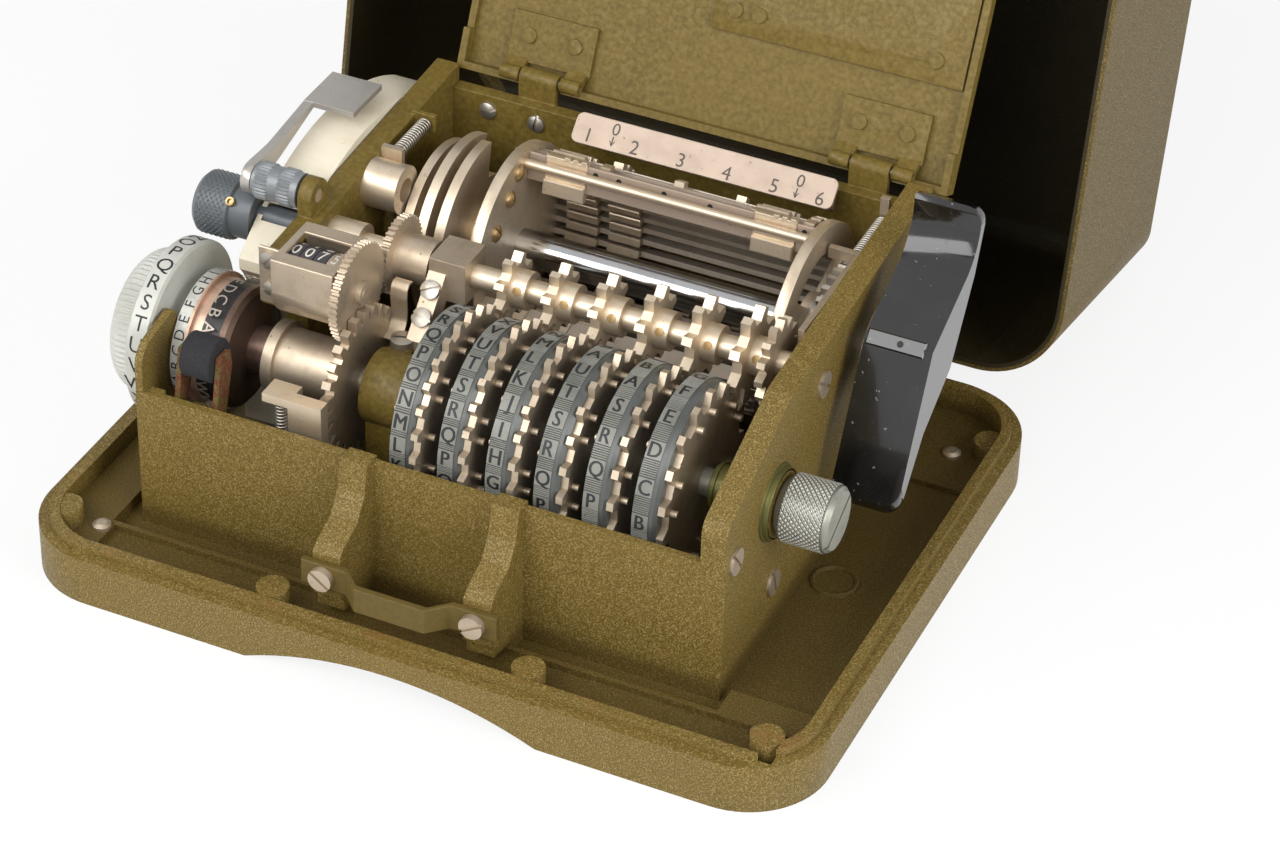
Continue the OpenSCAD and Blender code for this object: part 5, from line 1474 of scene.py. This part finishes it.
@dataclass
class FeedScrews:
    """Set screws in the collars of the feed shaft."""

    first: float = -4.2
    pitch: float = 10.76
    radius: float = 4.2

    def build(self) -> None:
        """One small slotted head in each collar, half sunk."""
        out = Vector((0, -0.905, 0.43))
        foot = Axis.FEED.middle() + out * (self.radius - 0.1)
        heads = [slotted(foot + RIGHT * (self.first + self.pitch * k), out, 0.95, 0.3, 40.0 * k, 0.2)
                 for k in range(6)]
        make("feed_set_screws", join(heads), BRONZE, "feed")


def dress(node: str, finish: Finish) -> None:
    """Gives a solid its finish.

    Args:
        node: the solid.
        finish: what it is to look like.
    """
    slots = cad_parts[node].material_slots
    for slot in slots:
        slot.material = finish.material()
    if not slots:
        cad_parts[node].data.materials.append(finish.material())


def soften(node: str, width: float, angle: float = 38.0) -> None:
    """Rounds a solid's sharp edges: welds its points, joins coplanar triangles, then bevels.

    Args:
        node: the solid.
        width: of the rounded edge.
        angle: in degrees, past which an edge is rounded.
    """
    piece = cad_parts[node]
    weld = piece.modifiers.new("weld", "WELD")
    weld.merge_threshold = 1e-6
    flat = piece.modifiers.new("flat", "DECIMATE")
    flat.decimate_type, flat.angle_limit = "DISSOLVE", math.radians(0.4)
    edge = piece.modifiers.new("edge", "BEVEL")
    edge.width, edge.segments, edge.limit_method, edge.angle_limit = width, 2, "ANGLE", math.radians(angle)
    edge.use_clamp_overlap = True
    edge.harden_normals = True


@dataclass
class Studio:
    """The pale floor, soft lights and the camera at the photograph's view.

    A lamp has its name, place and size in metres, and power in watts.
    """

    focal: float = 4065.0
    pixels: float = 1280.0
    sensor: float = 36.0
    azimuth: float = math.radians(23.68)
    elevation: float = math.radians(36.48)
    roll: float = math.radians(1.71)
    shift: Tuple[float, float] = (21.72 * MM, 18.37 * MM)
    distance: float = 872.2 * MM
    ambient: Tuple[float, float, float] = (0.08, 0.28, 0.28)
    overhead_dim: float = 0.62
    floor_white: float = 0.84
    aim: Tuple[float, float, float] = (0, 0.02, 0.04)
    lamps: Tuple[Tuple, ...] = (
        ("key_light", (-0.29, -0.75, 0.73), (1.3, 0.6), 10.8),
        ("top_light", (0.0, 0.0, 1.25), (1.6, 1.6), 4.2),
        ("right_light", (1.0, -0.35, 0.55), (0.6, 0.6), 7.0))

    def camera(self) -> None:
        """Places the camera: back along the line of sight, rolled, and slid in its own plane."""
        a, e, r = self.azimuth, self.elevation, self.roll
        back = Vector((math.sin(a) * math.cos(e), -math.cos(a) * math.cos(e), math.sin(e)))
        flat = Vector((math.cos(a), math.sin(a), 0))
        up = back.cross(flat)
        right, top = flat * math.cos(r) + up * math.sin(r), up * math.cos(r) - flat * math.sin(r)
        lens = bpy.data.cameras.new("camera")
        lens.sensor_width, lens.lens = self.sensor, self.sensor * self.focal / self.pixels
        lens.clip_start = 0.01
        eye = bpy.data.objects.new("camera", lens)
        spot = right * self.shift[0] + top * self.shift[1] + back * self.distance
        eye.matrix_world = Matrix((right, top, back)).transposed().to_4x4()
        eye.matrix_world.translation = spot
        bpy.context.scene.collection.objects.link(eye)
        bpy.context.scene.camera = eye

    def lamp(self, name: str, spot: Tuple[float, float, float], size: Tuple[float, float],
             power: float) -> None:
        """A soft light that faces the machine.

        Args:
            name: its name.
            spot: its place in metres.
            size: its width and height.
            power: in watts.
        """
        light = bpy.data.lights.new(name, "AREA")
        light.shape = "RECTANGLE"
        light.size, light.size_y = size
        light.energy = power
        holder = bpy.data.objects.new(name, light)
        holder.location = spot
        holder.rotation_euler = (Vector(self.aim) - Vector(spot)).to_track_quat("-Z", "Y").to_euler()
        bpy.context.scene.collection.objects.link(holder)

    def floor(self) -> None:
        """A pale floor that is partly its own white for the camera, so that it keeps a soft shadow."""
        mesh = bpy.data.meshes.new("floor")
        t = np.linspace(-3, 3, 5)
        x, y = np.meshgrid(t, t, indexing="ij")
        points, faces = patch(np.stack([x, y, 0 * x], -1))
        mesh.from_pydata(points.tolist(), [], faces.tolist())
        g = Graph(bpy.data.materials.new("pale_floor"))
        g.feed(Base_Color=tint(246, 246, 246), Roughness=0.9, Specular_IOR_Level=0.1)
        seen = g.rays()[0]
        glow = g.node("Emission", {}, {"Color": (1, 1, 1, 1), "Strength": 1.0})
        shade = Value(g, g.shader.outputs[0])
        both = g.node("MixShader", {}, {0: seen * self.floor_white, 1: shade, 2: glow})
        g.tree.links.new(both.socket, g.tree.nodes["Material Output"].inputs["Surface"])
        mesh.materials.append(g.material)
        ground = bpy.data.objects.new("floor", mesh)
        bpy.context.scene.collection.objects.link(ground)

    def world(self) -> None:
        """A surround that is white to the camera and in mirrors, and lights more from low and the right.

        Its strength for light is a base plus a part that falls with height, the direction's Z, plus a part
        that grows with its X. Mirrors see it grow dimmer overhead.
        """
        world = bpy.data.worlds.new("surround")
        bpy.context.scene.world = world
        g = Graph(world, "Background")
        seen, mirror = g.rays()
        low = 1.0 - g.axis("Z").rise(0.05, 0.75)
        right = g.axis("X").rise(-0.3, 0.9)
        lit = self.ambient[0] + self.ambient[1] * low + self.ambient[2] * right
        dim = self.overhead_dim * (mirror * g.axis("Z").rise(0.15, 0.7))
        g.feed(Color=(1.0, 1.0, 1.0), Strength=lit + seen * (1.0 - lit) - dim)

    def build(self) -> None:
        """Makes the floor, surround, lights and camera."""
        self.floor()
        self.world()
        for lamp in self.lamps:
            self.lamp(*lamp)
        self.camera()
        bpy.context.scene.view_settings.view_transform = "Standard"


def main() -> None:
    """Builds the studio and dresses the machine, piece by piece."""
    logging.basicConfig(level=logging.INFO, format="%(message)s")
    Studio().build()
    for finish, nodes in FINISHED.items():
        for node in nodes.split():
            dress(node, finish)
    for width, nodes in SOFT_EDGES.items():
        for node in nodes.split():
            soften(node, width * MM)
    for part in (KeyWheels(), TypeGroup(), Counter(), IndexPlate(), Knobs(), Springs(), InkRoller(),
                 DrumFittings(), FrameFittings(), HandleRidge(), FeedScrews()):
        part.build()


if __name__ == "__main__":
    main()
